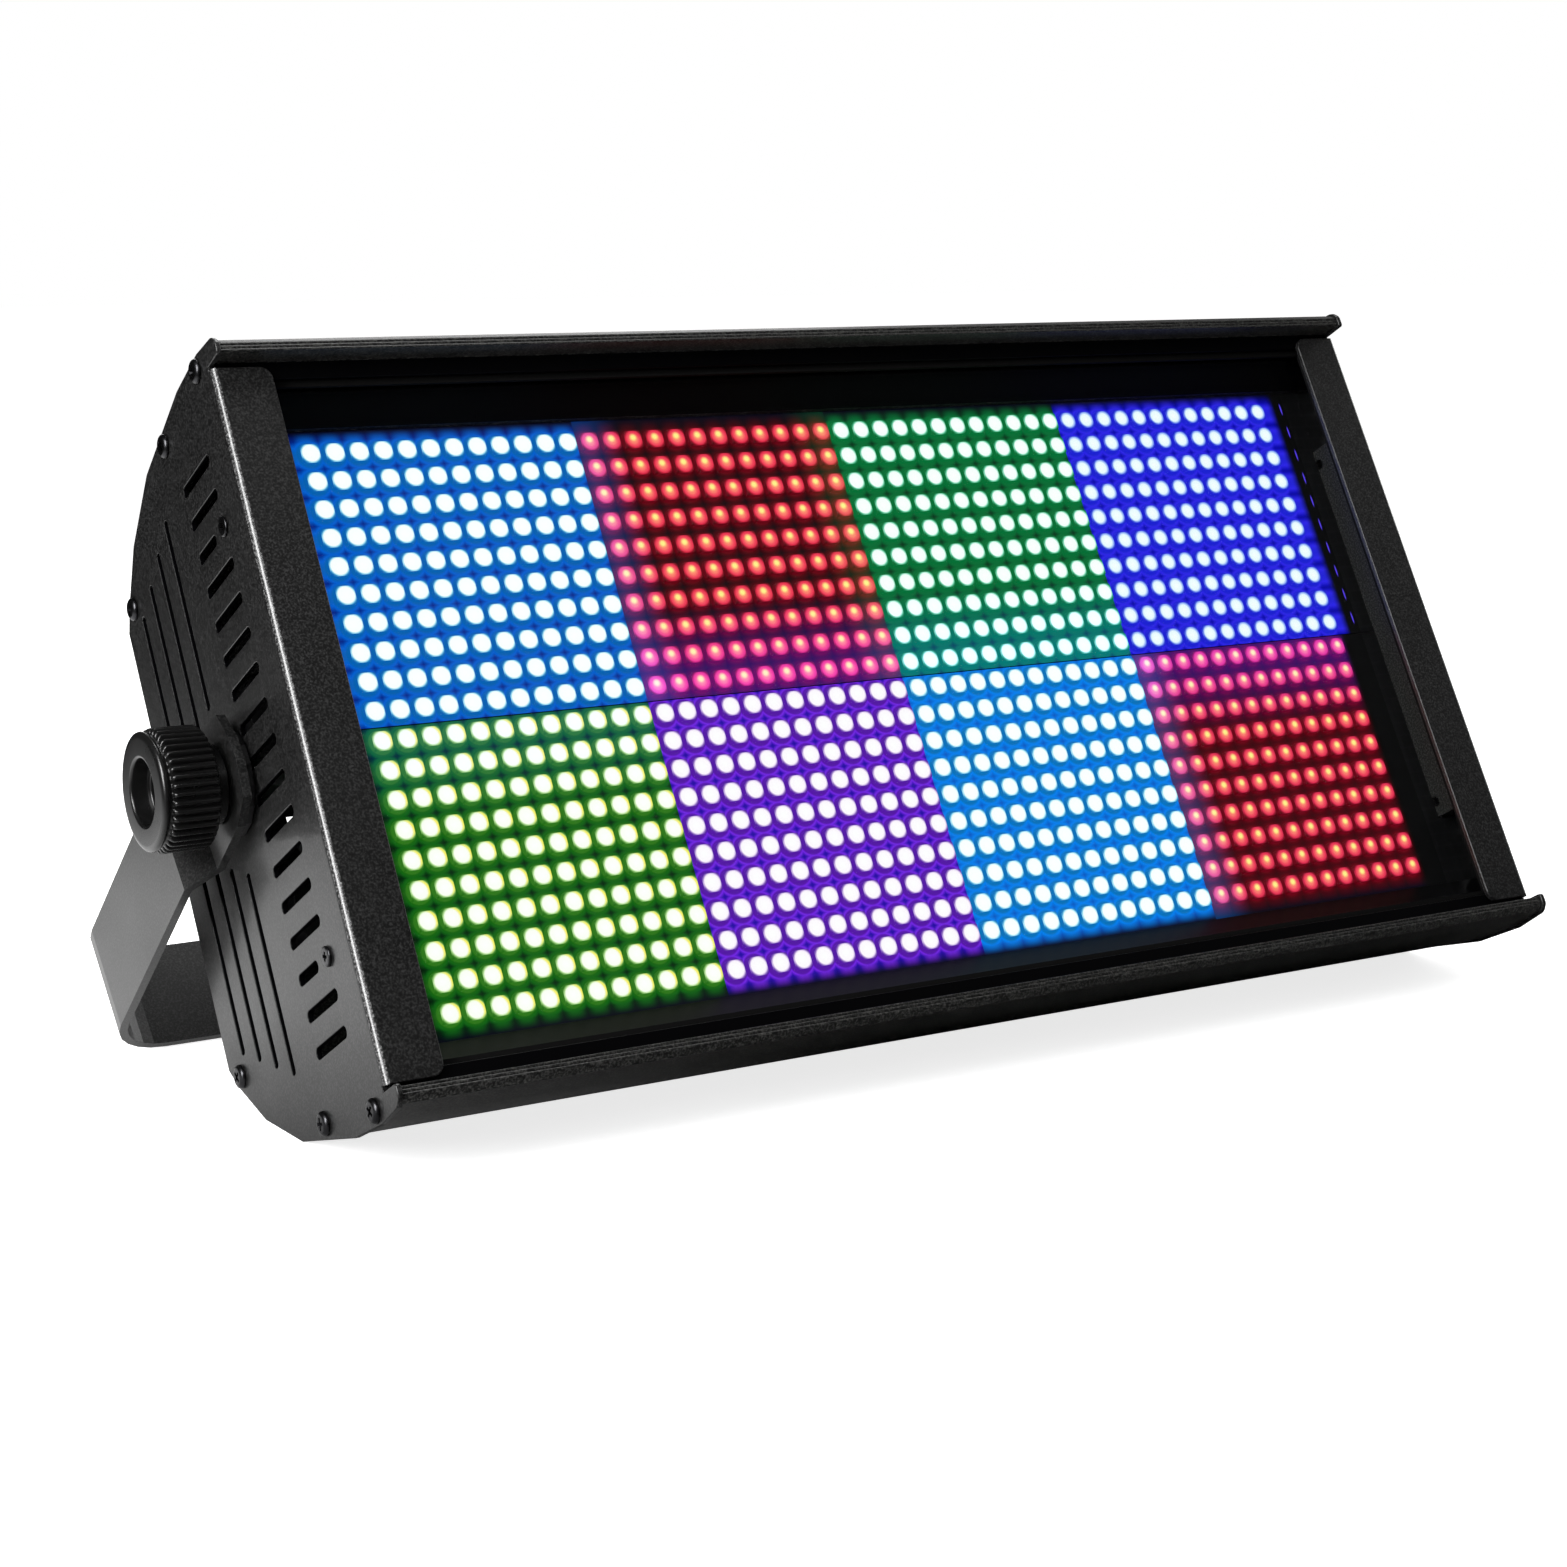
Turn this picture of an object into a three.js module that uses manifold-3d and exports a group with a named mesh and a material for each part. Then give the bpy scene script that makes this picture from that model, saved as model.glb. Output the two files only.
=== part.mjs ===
// Strobe light with a wide field of LEDs, standing on its tilting bracket.
// Millimetres. x runs along the lamp, y to the back and z up.

import * as THREE from 'three';
import { mergeVertices } from 'three/addons/utils/BufferGeometryUtils.js';
import Module from 'manifold-3d';

const wasm = await Module();
wasm.setup();

// Fits
const clearance = 0.3;
const overrun = 1;
const weldGap = 0.0001;

// Head: depths count back from the front face of the end plates' flanges
const headWidth = 400;
const headDepth = 103;
const pivotDepth = 50;
const sheet = 1.5;
const flangeWidth = 17;
const flangeHalfHeight = 100.2;
const flangeBend = 2;
const flangeCorner = 4;
const notchDepth = 2.5;

// Side outline of the head, upper half: the rail, brow and crown rise with the flange
const railReach = 6;
const railGap = 1.3;
const railHeight = 5.8;
const railChamfer = 2.2;
const browDepth = 8;
const browRise = 1.2;
const crownDepth = 27;
const crownDrop = 1.5;
const shoulderSetback = 41;
const shoulderHeight = 98.6;
const restFaceRun = 22;
const restTilt = THREE.MathUtils.degToRad(28.8);
const rearCornerSetback = 5;
const rearCornerHeight = 73.5;
const rearTop = 67;

// Vent slots of the end plates
const shortSlotCount = 17;
const shortSlotPitch = 10.15;
const shortSlotWidth = 3.2;
const shortSlotFront = 16;
const shortSlotBack = 38.5;
const cutShortSlotFront = 24;
const cutShortSlotRow = 6;
const longSlotCount = 4;
const longSlotWidth = 2.6;
const longSlotMargin = 18;
const longSlotRearMargin = 13.95;
const longSlotTop = 81.5;
const longSlotStep = 5.1;
const longSlotBottom = 24;

// Housing shells
const shellWall = 1.8;
const shellProud = 0.8;
const lipThickness = 1.5;
const lipOverGlass = 1.7;
const webThickness = 1.6;
const webInRail = 0.3;
const webOverGlass = 3;
const webFall = 7.6;
const rearLipWidth = 17;
const rearLipRise = 3;

// Front glass, gasket and strips
const gasketThickness = 1;
const gasketOverGlass = 3.5;
const glassThickness = 3;
const glassBehindFlange = 1.2;
const gasketSideWidth = 13;
const stripWidth = 8;
const stripDepth = 11.3;
const stripHalfLength = 66;

// LED boards and heat sink
const ledPlaneDepth = 15.2;
const ledHeight = 1.6;
const ledZones = 4;
const ledRows = 10;
const ledFieldSideMargin = 25.76;
const ledFieldTopMargin = 0.7;
const ledColumnGap = 2.26;
const ledRowGap = 3.53;
const ledBoardThickness = 1.6;
const ledBoardMargin = 2.4;
const sinkBase = 4;
const sinkSideMargin = 24;
const sinkOnWeb = 1.6;
const sinkDepthShare = 0.3757;
const finThickness = 1.6;
const finCount = 15;

// Screws
const screwHeadRadius = 3.4;
const screwHeadTopRadius = 2.6;
const screwHeadHeight = 2;
const screwRadius = 1.5;
const screwLength = 12;
const screwRecessWidth = 1;
const screwRecessLength = 3.8;
const screwRecessDepth = 1.1;
const bossRadius = 3.4;
const frontScrewDepth = 10.3;
const frontScrewInset = 4;
const crownScrewSetback = 58.5;
const rearScrewSetback = 5.9;
const skinScrewInset = 4.5;
const glassScrewDepth = 16.2;
const glassScrewHeight = 61;
const glassScrewLength = 9;
const glassScrewHeadRadius = 2.8;
const glassScrewHeadTopRadius = 2.4;
const glassScrewHeadHeight = 0.6;
const glassScrewRecessLength = 2.6;

// Pivot hardware
const boltRadius = 4;
const boltHeadRadius = 6.5;
const boltHeadHeight = 8;
const boltSocketRadius = 3.2;
const boltSocketDepth = 5;
const boltEnd = 16;
const nutRadius = 8;
const nutFlangeRadius = 11;
const nutFlange = 2;
const nutHeight = 11;
const washerRadius = 15;
const washerThickness = 2.4;

// Knobs
const knobRadius = 17;
const knobRibDepth = 1.3;
const knobRibs = 44;
const knobRibTipShare = 0.45;
const knobLength = 16.5;
const knobHubRadius = 11;
const knobHubLength = 4.2;
const knobFaceRadius = 14.8;
const knobEdge = 2;
const knobRecessRadius = 9.1;
const knobRecessDepth = 5;
const knobWellRadius = 7.2;
const knobWellDepth = 9;

// Bracket
const strap = 2.5;
const strapWidth = 33;
const strapReach = 121;
const strapBend = 18;
const earFront = 17.5;
const earCorner = 13;
const joggleStart = 17;
const joggleRun = 9.5;
const joggleRise = 7;
const clampHoleRadius = 6.5;
const sideHoleRadius = 4.5;
const sideHoleOffset = 50;

// Rear panel
const rearPanelInset = 1;
const rearPanelScrewSetback = 15;
const rearPanelScrewInset = 5.4;

// Fans
const fanSize = 80;
const fanDepth = 25;
const fanOpening = 38;
const fanSideMargin = 60;
const fanHubRadius = 16;
const fanHubDepth = 3;
const fanStrutWidth = 4;
const fanCorner = 5;
const rotorRadius = 36.5;
const rotorHubRadius = 15.5;
const rotorDepth = 17;
const rotorShaftRadius = 2;
const bladeCount = 7;
const bladeThickness = 1.6;
const bladePitch = THREE.MathUtils.degToRad(38);
const bladeChord = 17;
const grilleSlots = 9;
const grilleSlotWidth = 4;
const grilleSlotPitch = 8;
const grilleRadius = 37;

// Rear controls and sockets
const socketRowHeight = -30;
const socketRowMargin = 4;
const socketPlaces = 5;
const socketFlangeWidth = 26;
const socketFlangeHeight = 31;
const socketFlange = 2;
const socketFlangeCorner = 4;
const socketRadius = 12;
const socketDepth = 24;
const socketMouthRadius = 9.5;
const socketMouthDepth = 16;
const socketPinRadius = 1.2;
const socketPinLength = 9;
const socketPinCircle = 4.7;
const socketPinCount = 3;
const socketRingWidth = 1.4;
const socketPinHoleRadius = 1.5;
const powerMouthRadius = 10.5;
const powerPostRadius = 4.5;
const powerPostLength = 9;
const powerKeyWidth = 3;
const fuseRadius = 7;
const fuseFlangeRadius = 9;
const fuseBoreRadius = 4.3;
const fuseCapRadius = 6.5;
const fuseCapHeight = 6;
const fuseStubLength = 12;
const fuseSlotWidth = 1.4;
const fuseSlotDepth = 1.5;
const displayWidth = 60;
const displayHeight = 20;
const displayFrame = 4;
const displayCentre = -28;
const controlsHeight = 28;
const displaySink = 0.6;
const boardStandoff = 7;
const boardThickness = 1.6;
const controlBoardHalfHeight = 18;
const controlBoardMargin = 8;
const boardPostRadius = 2.5;
const boardPostInset = 4;
const buttonCount = 4;
const buttonPitch = 15;
const buttonFirst = 28;
const buttonRadius = 3.4;
const buttonFlangeRadius = 4.8;
const buttonFlange = 1.5;
const buttonProud = 2;
const buttonTravel = 1;
const switchHalf = 3;

// Electronics on the heat sink
const supplyHalfWidth = 95;
const supplyHalfHeight = 50;
const supplyAirGap = 6;
const driverInner = 104;
const driverOuterMargin = 22;
const driverPostFin = 3;
const driverPostInset = 6;
const driverStandoff = 5;
const driverPartHeight = 12;
const driverPartHalf = 9;

// Safety eye
const eyeStrap = 2.5;
const eyeWidth = 12;
const eyeHalfSpan = 10;
const eyeReach = 18;
const eyeFoot = 12;
const eyeHeight = 56;

// Rounding steps
const smallRound = 8;
const round = 16;
const largeRound = 24;
const arcSteps = 2;
const bendSteps = 3;

// Places that follow from the sizes
const plateOut = headWidth / 2;
const plateIn = plateOut - sheet;
const shellEnd = plateIn - clearance;
const railBottom = flangeHalfHeight + railGap;
const railTop = railBottom + railHeight;
const browHeight = railTop + browRise;
const crownHeight = browHeight - crownDrop;
const shoulderDepth = headDepth - shoulderSetback;
const restDepth = shoulderDepth + restFaceRun;
const restHeight = shoulderHeight - restFaceRun * Math.tan(restTilt);
const rearCornerDepth = headDepth - rearCornerSetback;
const panelFront = headDepth - sheet;
const longSlotDepth = shortSlotBack + longSlotMargin;
const longSlotPitch = (headDepth - longSlotRearMargin - longSlotDepth) / (longSlotCount - 1);
const glassHalfHeight = flangeHalfHeight - glassBehindFlange;
const gasketInner = glassHalfHeight - gasketOverGlass;
const lipBottom = glassHalfHeight - lipOverGlass;
const webTop = railTop - webInRail;
const webBend = glassHalfHeight - webOverGlass;
const webFoot = webBend - webFall;
const rearLipTop = rearTop + rearLipRise;
const rearLipBottom = rearTop - rearLipWidth;
const ledBoardHalfHeight = webFoot - ledBoardMargin;
const ledRowPitch = (ledBoardHalfHeight - ledFieldTopMargin) / ledRows;
const sinkHalfHeight = webFoot + sinkOnWeb;
const finPitch = 2 * sinkHalfHeight / finCount;
const driverHalfHeight = driverPostFin * finPitch + driverPostInset;
const lipFront = sheet + clearance;
const lipBack = lipFront + lipThickness;
const glassFront = lipBack + gasketThickness + 2 * clearance;
const glassBack = glassFront + glassThickness;
const webFront = glassBack + clearance;
const ledBoardFront = ledPlaneDepth + ledHeight;
const ledBoardBack = ledBoardFront + ledBoardThickness;
const sinkFront = ledBoardBack + clearance;
const finFront = sinkFront + sinkBase;
const sinkBack = headDepth * sinkDepthShare;
const sinkHalfWidth = plateOut - sinkSideMargin;
const ledBoardHalfWidth = shellEnd - clearance;
const ledZoneWidth = 2 * (plateOut - ledFieldSideMargin) / ledZones;
const screwHoleRadius = screwRadius + clearance;
const boltHoleRadius = boltRadius + clearance;
const washerOut = plateOut + clearance + washerThickness;
const earIn = washerOut + clearance;
const earOut = earIn + strap;
const armOut = earOut + joggleRise;
const knobHubIn = earOut + clearance;
const knobBase = knobHubIn + knobHubLength;
const knobFace = knobBase + knobLength;
const knobFloor = knobFace - knobRecessDepth - knobWellDepth;
const rearPanelHalfHeight = rearTop - shellProud - shellWall - rearPanelInset;
const rearPanelScrewHeight = rearPanelHalfHeight - rearPanelScrewInset;
const fanCentre = plateOut - fanSideMargin;
const fanBack = panelFront - clearance;
const fanFront = fanBack - fanDepth;
const socketFree = fanCentre - fanSize / 2 - socketRowMargin;
const socketPitch = 2 * socketFree / socketPlaces;
const socketFront = headDepth - socketDepth;
const panelFace = headDepth + clearance;
const boardBack = panelFront - boardStandoff;
const boardFront = boardBack - boardThickness;
const supplyBack = socketFront - supplyAirGap;

const upperOutline = [
  [-railReach, railBottom],
  [-railReach, railTop - railChamfer],
  [-railReach + railChamfer, railTop],
  [browDepth, browHeight],
  [crownDepth, crownHeight],
  [shoulderDepth, shoulderHeight],
  [restDepth, restHeight],
  [rearCornerDepth, rearCornerHeight],
  [headDepth, rearTop],
];

// Finishes
const finish = (color, roughness, metalness) =>
  new THREE.MeshStandardMaterial({ color, roughness, metalness });
const blackPaint = finish(0x1c1d1f, 0.55, 0.1);
const blackPlastic = finish(0x141414, 0.5, 0);
const blackScrew = finish(0x0c0c0d, 0.35, 0.8);
const clearGlass = finish(0x20262a, 0.05, 0);
const blackRubber = finish(0x101010, 0.9, 0);
const boardBlack = finish(0x15171a, 0.5, 0);
const boardGreen = finish(0x14502c, 0.5, 0);
const bareAluminium = finish(0xb4b7ba, 0.4, 0.9);
const zincSteel = finish(0xc2c3c0, 0.35, 0.9);
const displayBlue = finish(0x16324a, 0.2, 0);
const greyPlastic = finish(0x8a9097, 0.5, 0);
const bluePlastic = finish(0x2a5fae, 0.5, 0);

// Solids from three.js shapes
function toSolid(geometry) {
  const bare = geometry.index ? geometry.toNonIndexed() : geometry.clone();
  bare.deleteAttribute('normal');
  bare.deleteAttribute('uv');
  const merged = mergeVertices(bare, weldGap);
  return new wasm.Manifold(new wasm.Mesh({
    numProp: 3,
    vertProperties: new Float32Array(merged.attributes.position.array),
    triVerts: new Uint32Array(merged.index.array),
  }));
}

function toGeometry(solid) {
  const mesh = solid.getMesh();
  const geometry = new THREE.BufferGeometry();
  geometry.setAttribute('position', new THREE.BufferAttribute(mesh.vertProperties, 3));
  geometry.setIndex(new THREE.BufferAttribute(mesh.triVerts, 1));
  geometry.computeVertexNormals();
  return geometry;
}

const span = (a, b) => [Math.min(a, b), Math.max(a, b)];

function box(xs, ys, zs) {
  const [x0, x1] = span(...xs);
  const [y0, y1] = span(...ys);
  const [z0, z1] = span(...zs);
  const geometry = new THREE.BoxGeometry(x1 - x0, y1 - y0, z1 - z0);
  return toSolid(geometry.translate((x0 + x1) / 2, (y0 + y1) / 2, (z0 + z1) / 2));
}

function rodX(xs, y, z, radius, steps) {
  const [x0, x1] = span(...xs);
  const geometry = new THREE.CylinderGeometry(radius, radius, x1 - x0, steps);
  return toSolid(geometry.rotateZ(Math.PI / 2).translate((x0 + x1) / 2, y, z));
}

function rodY(x, ys, z, radius, steps) {
  const [y0, y1] = span(...ys);
  const geometry = new THREE.CylinderGeometry(radius, radius, y1 - y0, steps);
  return toSolid(geometry.translate(x, (y0 + y1) / 2, z));
}

const extrude = (shape, depth) =>
  new THREE.ExtrudeGeometry(shape, { depth, bevelEnabled: false, curveSegments: arcSteps });

const alongXBasis = new THREE.Matrix4().makeBasis(
  new THREE.Vector3(0, 1, 0), new THREE.Vector3(0, 0, 1), new THREE.Vector3(1, 0, 0));
const alongYBasis = new THREE.Matrix4().makeBasis(
  new THREE.Vector3(1, 0, 0), new THREE.Vector3(0, 0, 1), new THREE.Vector3(0, -1, 0));

// A shape drawn in y and z, run along x
function alongX(shape, xs) {
  const [x0, x1] = span(...xs);
  return toSolid(extrude(shape, x1 - x0).applyMatrix4(alongXBasis).translate(x0, 0, 0));
}

// A shape drawn in x and z, run along y
function alongY(shape, ys) {
  const [y0, y1] = span(...ys);
  return toSolid(extrude(shape, y1 - y0).applyMatrix4(alongYBasis).translate(0, y1, 0));
}

// A shape drawn in x and y, run along z
function alongZ(shape, zs) {
  const [z0, z1] = span(...zs);
  return toSolid(extrude(shape, z1 - z0).translate(0, 0, z0));
}

const polygon = points => new THREE.Shape(points.map(([a, b]) => new THREE.Vector2(a, b)));
const joined = solids => solids.reduce((all, one) => all.add(one));
const cutFrom = (solid, cutters) => cutters.reduce((left, one) => left.subtract(one), solid);

// A line moved to its right by a distance, its corners mitred
function offsetPath(points, distance) {
  const normals = points.slice(1).map(([x, y], i) => {
    const [px, py] = points[i];
    const length = Math.hypot(x - px, y - py);
    return [(y - py) / length, (px - x) / length];
  });
  return points.map(([x, y], i) => {
    const before = normals[Math.max(i - 1, 0)];
    const after = normals[Math.min(i, normals.length - 1)];
    const share = 1 / (1 + before[0] * after[0] + before[1] * after[1]);
    return [
      x + distance * share * (before[0] + after[0]),
      y + distance * share * (before[1] + after[1]),
    ];
  });
}

const bandShape = (points, inner, outer) =>
  polygon([...offsetPath(points, inner), ...offsetPath(points, outer).reverse()]);

function slotAlong(path, from, to, across, width) {
  const radius = width / 2;
  path.absarc(to - radius, across, radius, -Math.PI / 2, Math.PI / 2);
  path.absarc(from + radius, across, radius, Math.PI / 2, 3 * Math.PI / 2);
  return path;
}

function slotUp(path, across, from, to, width) {
  const radius = width / 2;
  path.absarc(across, to - radius, radius, 0, Math.PI);
  path.absarc(across, from + radius, radius, Math.PI, 2 * Math.PI);
  return path;
}

function roundHole(x, y, radius, steps) {
  const angles = Array.from({ length: steps }, (_, i) => 2 * Math.PI * i / steps);
  return new THREE.Path(angles.map(a =>
    new THREE.Vector2(x + radius * Math.cos(a), y + radius * Math.sin(a))));
}

function roundedRect(x, y, halfWidth, halfHeight, corner) {
  const shape = new THREE.Shape();
  shape.absarc(x + halfWidth - corner, y + halfHeight - corner, corner, 0, Math.PI / 2);
  shape.absarc(x - halfWidth + corner, y + halfHeight - corner, corner, Math.PI / 2, Math.PI);
  shape.absarc(x - halfWidth + corner, y - halfHeight + corner, corner, Math.PI, 3 * Math.PI / 2);
  shape.absarc(x + halfWidth - corner, y - halfHeight + corner, corner, 3 * Math.PI / 2, 2 * Math.PI);
  return shape;
}

// The head's own frame has the tilt axis as its x axis
const head = new THREE.Group();
const back = depth => depth - pivotDepth;
const inHead = points => points.map(([depth, height]) => [back(depth), height]);
const flip = points => points.map(([y, z]) => [y, -z]);

function place(group, name, solid, material) {
  const mesh = new THREE.Mesh(toGeometry(solid), material);
  mesh.name = name;
  group.add(mesh);
}

const sides = [['left', -1], ['right', 1]];
const halves = [['upper', 1], ['lower', -1]];

// The point a distance inside the side outline, square to it at a depth
function insideOutline(depth, inset) {
  const end = upperOutline.findIndex(([d], i) => i > 2 && d >= depth);
  const [d0, h0] = upperOutline[end - 1];
  const [d1, h1] = upperOutline[end];
  const length = Math.hypot(d1 - d0, h1 - h0);
  const height = h0 + (h1 - h0) * (depth - d0) / (d1 - d0);
  return [depth + inset * (h1 - h0) / length, height - inset * (d1 - d0) / length];
}

// Screws that hold each end plate: depth and height of the upper four
const endScrewPlaces = [
  ['front', ...insideOutline(frontScrewDepth, frontScrewInset)],
  ['crown', ...insideOutline(headDepth - crownScrewSetback, skinScrewInset)],
  ['rear', ...insideOutline(headDepth - rearScrewSetback, skinScrewInset)],
  ['glass', glassScrewDepth, glassScrewHeight],
];
const shellScrewPlaces = endScrewPlaces.slice(0, 3);
const glassScrewPlaces = endScrewPlaces.slice(3);

// End plates: folded sheet with a front flange, vent slots and screw holes
function endPlate(side) {
  const upper = inHead([[flangeBend, flangeHalfHeight], [notchDepth, flangeHalfHeight],
    [notchDepth, railBottom], ...upperOutline]);
  const shape = polygon([...upper, ...flip(upper).reverse()]);
  const middle = (shortSlotCount - 1) / 2;
  for (let i = 0; i < shortSlotCount; i++) {
    const row = i - middle;
    const front = Math.abs(row) === cutShortSlotRow ? cutShortSlotFront : shortSlotFront;
    shape.holes.push(slotAlong(new THREE.Path(), back(front), back(shortSlotBack),
      row * shortSlotPitch, shortSlotWidth));
  }
  for (let i = 0; i < longSlotCount; i++) {
    const y = back(longSlotDepth + i * longSlotPitch);
    const top = longSlotTop - i * longSlotStep;
    const bottom = longSlotBottom - i * longSlotStep;
    shape.holes.push(slotUp(new THREE.Path(), y, bottom, top, longSlotWidth));
    shape.holes.push(slotUp(new THREE.Path(), y, -top, -bottom, longSlotWidth));
  }
  for (const [, half] of halves) {
    for (const [, depth, height] of endScrewPlaces) {
      shape.holes.push(roundHole(back(depth), half * height, screwHoleRadius, smallRound));
    }
  }
  shape.holes.push(roundHole(0, 0, boltHoleRadius, round));
  const wall = alongX(shape, [side * plateIn, side * plateOut]);

  const fold = new THREE.Shape();
  fold.moveTo(side * plateOut, back(notchDepth));
  fold.lineTo(side * plateOut, back(flangeBend));
  fold.absarc(side * (plateOut - flangeBend), back(flangeBend), flangeBend,
    side > 0 ? 0 : Math.PI, -Math.PI / 2, side > 0);
  fold.lineTo(side * (plateOut - 2 * flangeBend), back(0));
  fold.lineTo(side * (plateOut - 2 * flangeBend), back(sheet));
  fold.lineTo(side * plateIn, back(sheet));
  fold.lineTo(side * plateIn, back(notchDepth));
  const bend = alongZ(fold, [-flangeHalfHeight, flangeHalfHeight]);

  const flangeIn = plateOut - flangeWidth;
  const flangeOut = plateOut - flangeBend;
  const flange = new THREE.Shape();
  flange.moveTo(side * flangeOut, -flangeHalfHeight);
  flange.lineTo(side * flangeOut, flangeHalfHeight);
  flange.lineTo(side * (flangeIn + flangeCorner), flangeHalfHeight);
  flange.quadraticCurveTo(side * flangeIn, flangeHalfHeight,
    side * flangeIn, flangeHalfHeight - flangeCorner);
  flange.lineTo(side * flangeIn, flangeCorner - flangeHalfHeight);
  flange.quadraticCurveTo(side * flangeIn, -flangeHalfHeight,
    side * (flangeIn + flangeCorner), -flangeHalfHeight);
  return joined([wall, bend, alongY(flange, [back(0), back(sheet)])]);
}
for (const [sideName, side] of sides) {
  place(head, `${sideName}_end_plate`, endPlate(side), blackPaint);
}

// Shells: aluminium extrusions with the front rail, a lip before the glass and a web behind it
const nosePath = inHead([[lipBack, railBottom], ...upperOutline.slice(0, 3), [lipBack, railTop]]);
const skinPath = inHead(upperOutline.slice(2));
const webPath = inHead([[webFront, webTop], [webFront, webBend],
  [ledPlaneDepth, webFoot], [ledBoardBack, webFoot]]);

function shell(half) {
  const turn = half > 0 ? points => points : flip;
  const ends = [-shellEnd, shellEnd];
  const nose = alongX(polygon(turn(offsetPath(nosePath, shellProud))), ends);
  const outer = offsetPath(skinPath, shellProud);
  const inner = offsetPath(skinPath, shellProud + shellWall);
  const skin = alongX(polygon(turn([...outer, ...inner.reverse()])), ends);
  const lip = box(ends, [back(lipFront), back(lipBack)],
    [half * lipBottom, half * (railBottom + shellProud + shellWall)]);
  const web = alongX(polygon(turn([...webPath, ...offsetPath(webPath, -webThickness).reverse()])), ends);
  const rearLipBack = panelFront - clearance;
  const rearLip = box(ends, [back(rearLipBack - shellWall), back(rearLipBack)],
    [half * rearLipBottom, half * rearLipTop]);
  const bosses = shellScrewPlaces.map(([, depth, height]) =>
    rodX(ends, back(depth), half * height, bossRadius, smallRound));
  const bores = shellScrewPlaces.map(([, depth, height]) =>
    rodX([-plateOut, plateOut], back(depth), half * height, screwHoleRadius, smallRound));
  const panelHoles = sides.map(([, side]) =>
    rodY(side * (plateOut - rearPanelScrewSetback), [back(rearLipBack - shellWall - overrun),
      back(rearLipBack + overrun)], half * rearPanelScrewHeight, screwHoleRadius, smallRound));
  return cutFrom(joined([nose, skin, lip, web, rearLip, ...bosses]), [...bores, ...panelHoles]);
}
for (const [halfName, half] of halves) {
  place(head, `${halfName}_shell`, shell(half), blackPaint);
}

// Gasket: rubber frame between the pane and the shells' lips and the end plates' flanges
const gasketOut = plateIn - clearance;
const gasketIn = gasketOut - gasketSideWidth;
const gasketFront = lipBack + clearance;
const gasketBack = gasketFront + gasketThickness;
const gasketFrame = polygon([[-gasketOut, -glassHalfHeight], [gasketOut, -glassHalfHeight],
  [gasketOut, glassHalfHeight], [-gasketOut, glassHalfHeight]]);
gasketFrame.holes.push(polygon([[-gasketIn, -gasketInner], [gasketIn, -gasketInner],
  [gasketIn, gasketInner], [-gasketIn, gasketInner]]));
const gasketSides = sides.map(([, side]) =>
  box([side * gasketIn, side * gasketOut], [back(lipFront), back(gasketBack)],
    [clearance - lipBottom, lipBottom - clearance]));
place(head, 'glass_gasket',
  joined([alongY(gasketFrame, [back(gasketFront), back(gasketBack)]), ...gasketSides]), blackRubber);

// Front glass
place(head, 'front_glass', box([-gasketOut, gasketOut], [back(glassFront), back(glassBack)],
  [-glassHalfHeight, glassHalfHeight]), clearGlass);

// Strips that hold the ends of the pane
function glassStrip(side) {
  const bar = box([side * (shellEnd - stripWidth), side * shellEnd],
    [back(webFront), back(webFront + stripDepth)], [-stripHalfLength, stripHalfLength]);
  const bores = halves.flatMap(([, half]) => glassScrewPlaces.map(([, depth, height]) =>
    rodX([side * (shellEnd - stripWidth - overrun), side * plateOut],
      back(depth), half * height, screwHoleRadius, smallRound)));
  return cutFrom(bar, bores);
}
for (const [sideName, side] of sides) {
  place(head, `${sideName}_glass_strip`, glassStrip(side), blackPaint);
}

// LED boards, one above the other, cut back round the strips: a row of LEDs of one colour is a low bar
function ledBoard(half) {
  const plate = box([-ledBoardHalfWidth, ledBoardHalfWidth],
    [back(ledBoardFront), back(ledBoardBack)], [half * clearance / 2, half * ledBoardHalfHeight]);
  const notches = sides.map(([, side]) => box([side * (shellEnd - stripWidth - clearance), side * plateOut],
    [back(webFront), back(ledBoardBack + overrun)],
    [-stripHalfLength - clearance, stripHalfLength + clearance]));
  const parts = [cutFrom(plate, notches)];
  for (let zone = 0; zone < ledZones; zone++) {
    const x = (zone - (ledZones - 1) / 2) * ledZoneWidth;
    const reach = (ledZoneWidth - ledColumnGap) / 2;
    for (let row = 0; row < ledRows; row++) {
      const z = half * (row + 1 / 2) * ledRowPitch;
      parts.push(box([x - reach, x + reach],
        [back(ledPlaneDepth), back(ledBoardFront + ledBoardThickness / 2)],
        [z - (ledRowPitch - ledRowGap) / 2, z + (ledRowPitch - ledRowGap) / 2]));
    }
  }
  return joined(parts);
}
for (const [halfName, half] of halves) {
  place(head, `${halfName}_led_board`, ledBoard(half), boardBlack);
}

// Heat sink: base plate against the shells' webs, fins to the back
const sinkProfile = [[back(sinkFront), -sinkHalfHeight]];
for (let i = 0; i < finCount; i++) {
  const bottom = -sinkHalfHeight + (i + 0.5) * finPitch - finThickness / 2;
  sinkProfile.push([back(finFront), i ? bottom : -sinkHalfHeight]);
  if (!i) {
    sinkProfile.push([back(finFront), bottom]);
  }
  sinkProfile.push([back(sinkBack), bottom]);
  sinkProfile.push([back(sinkBack), bottom + finThickness]);
  sinkProfile.push([back(finFront), bottom + finThickness]);
}
sinkProfile.push([back(finFront), sinkHalfHeight]);
sinkProfile.push([back(sinkFront), sinkHalfHeight]);
place(head, 'heat_sink', alongX(polygon(sinkProfile), [-sinkHalfWidth, sinkHalfWidth]), bareAluminium);

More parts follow.
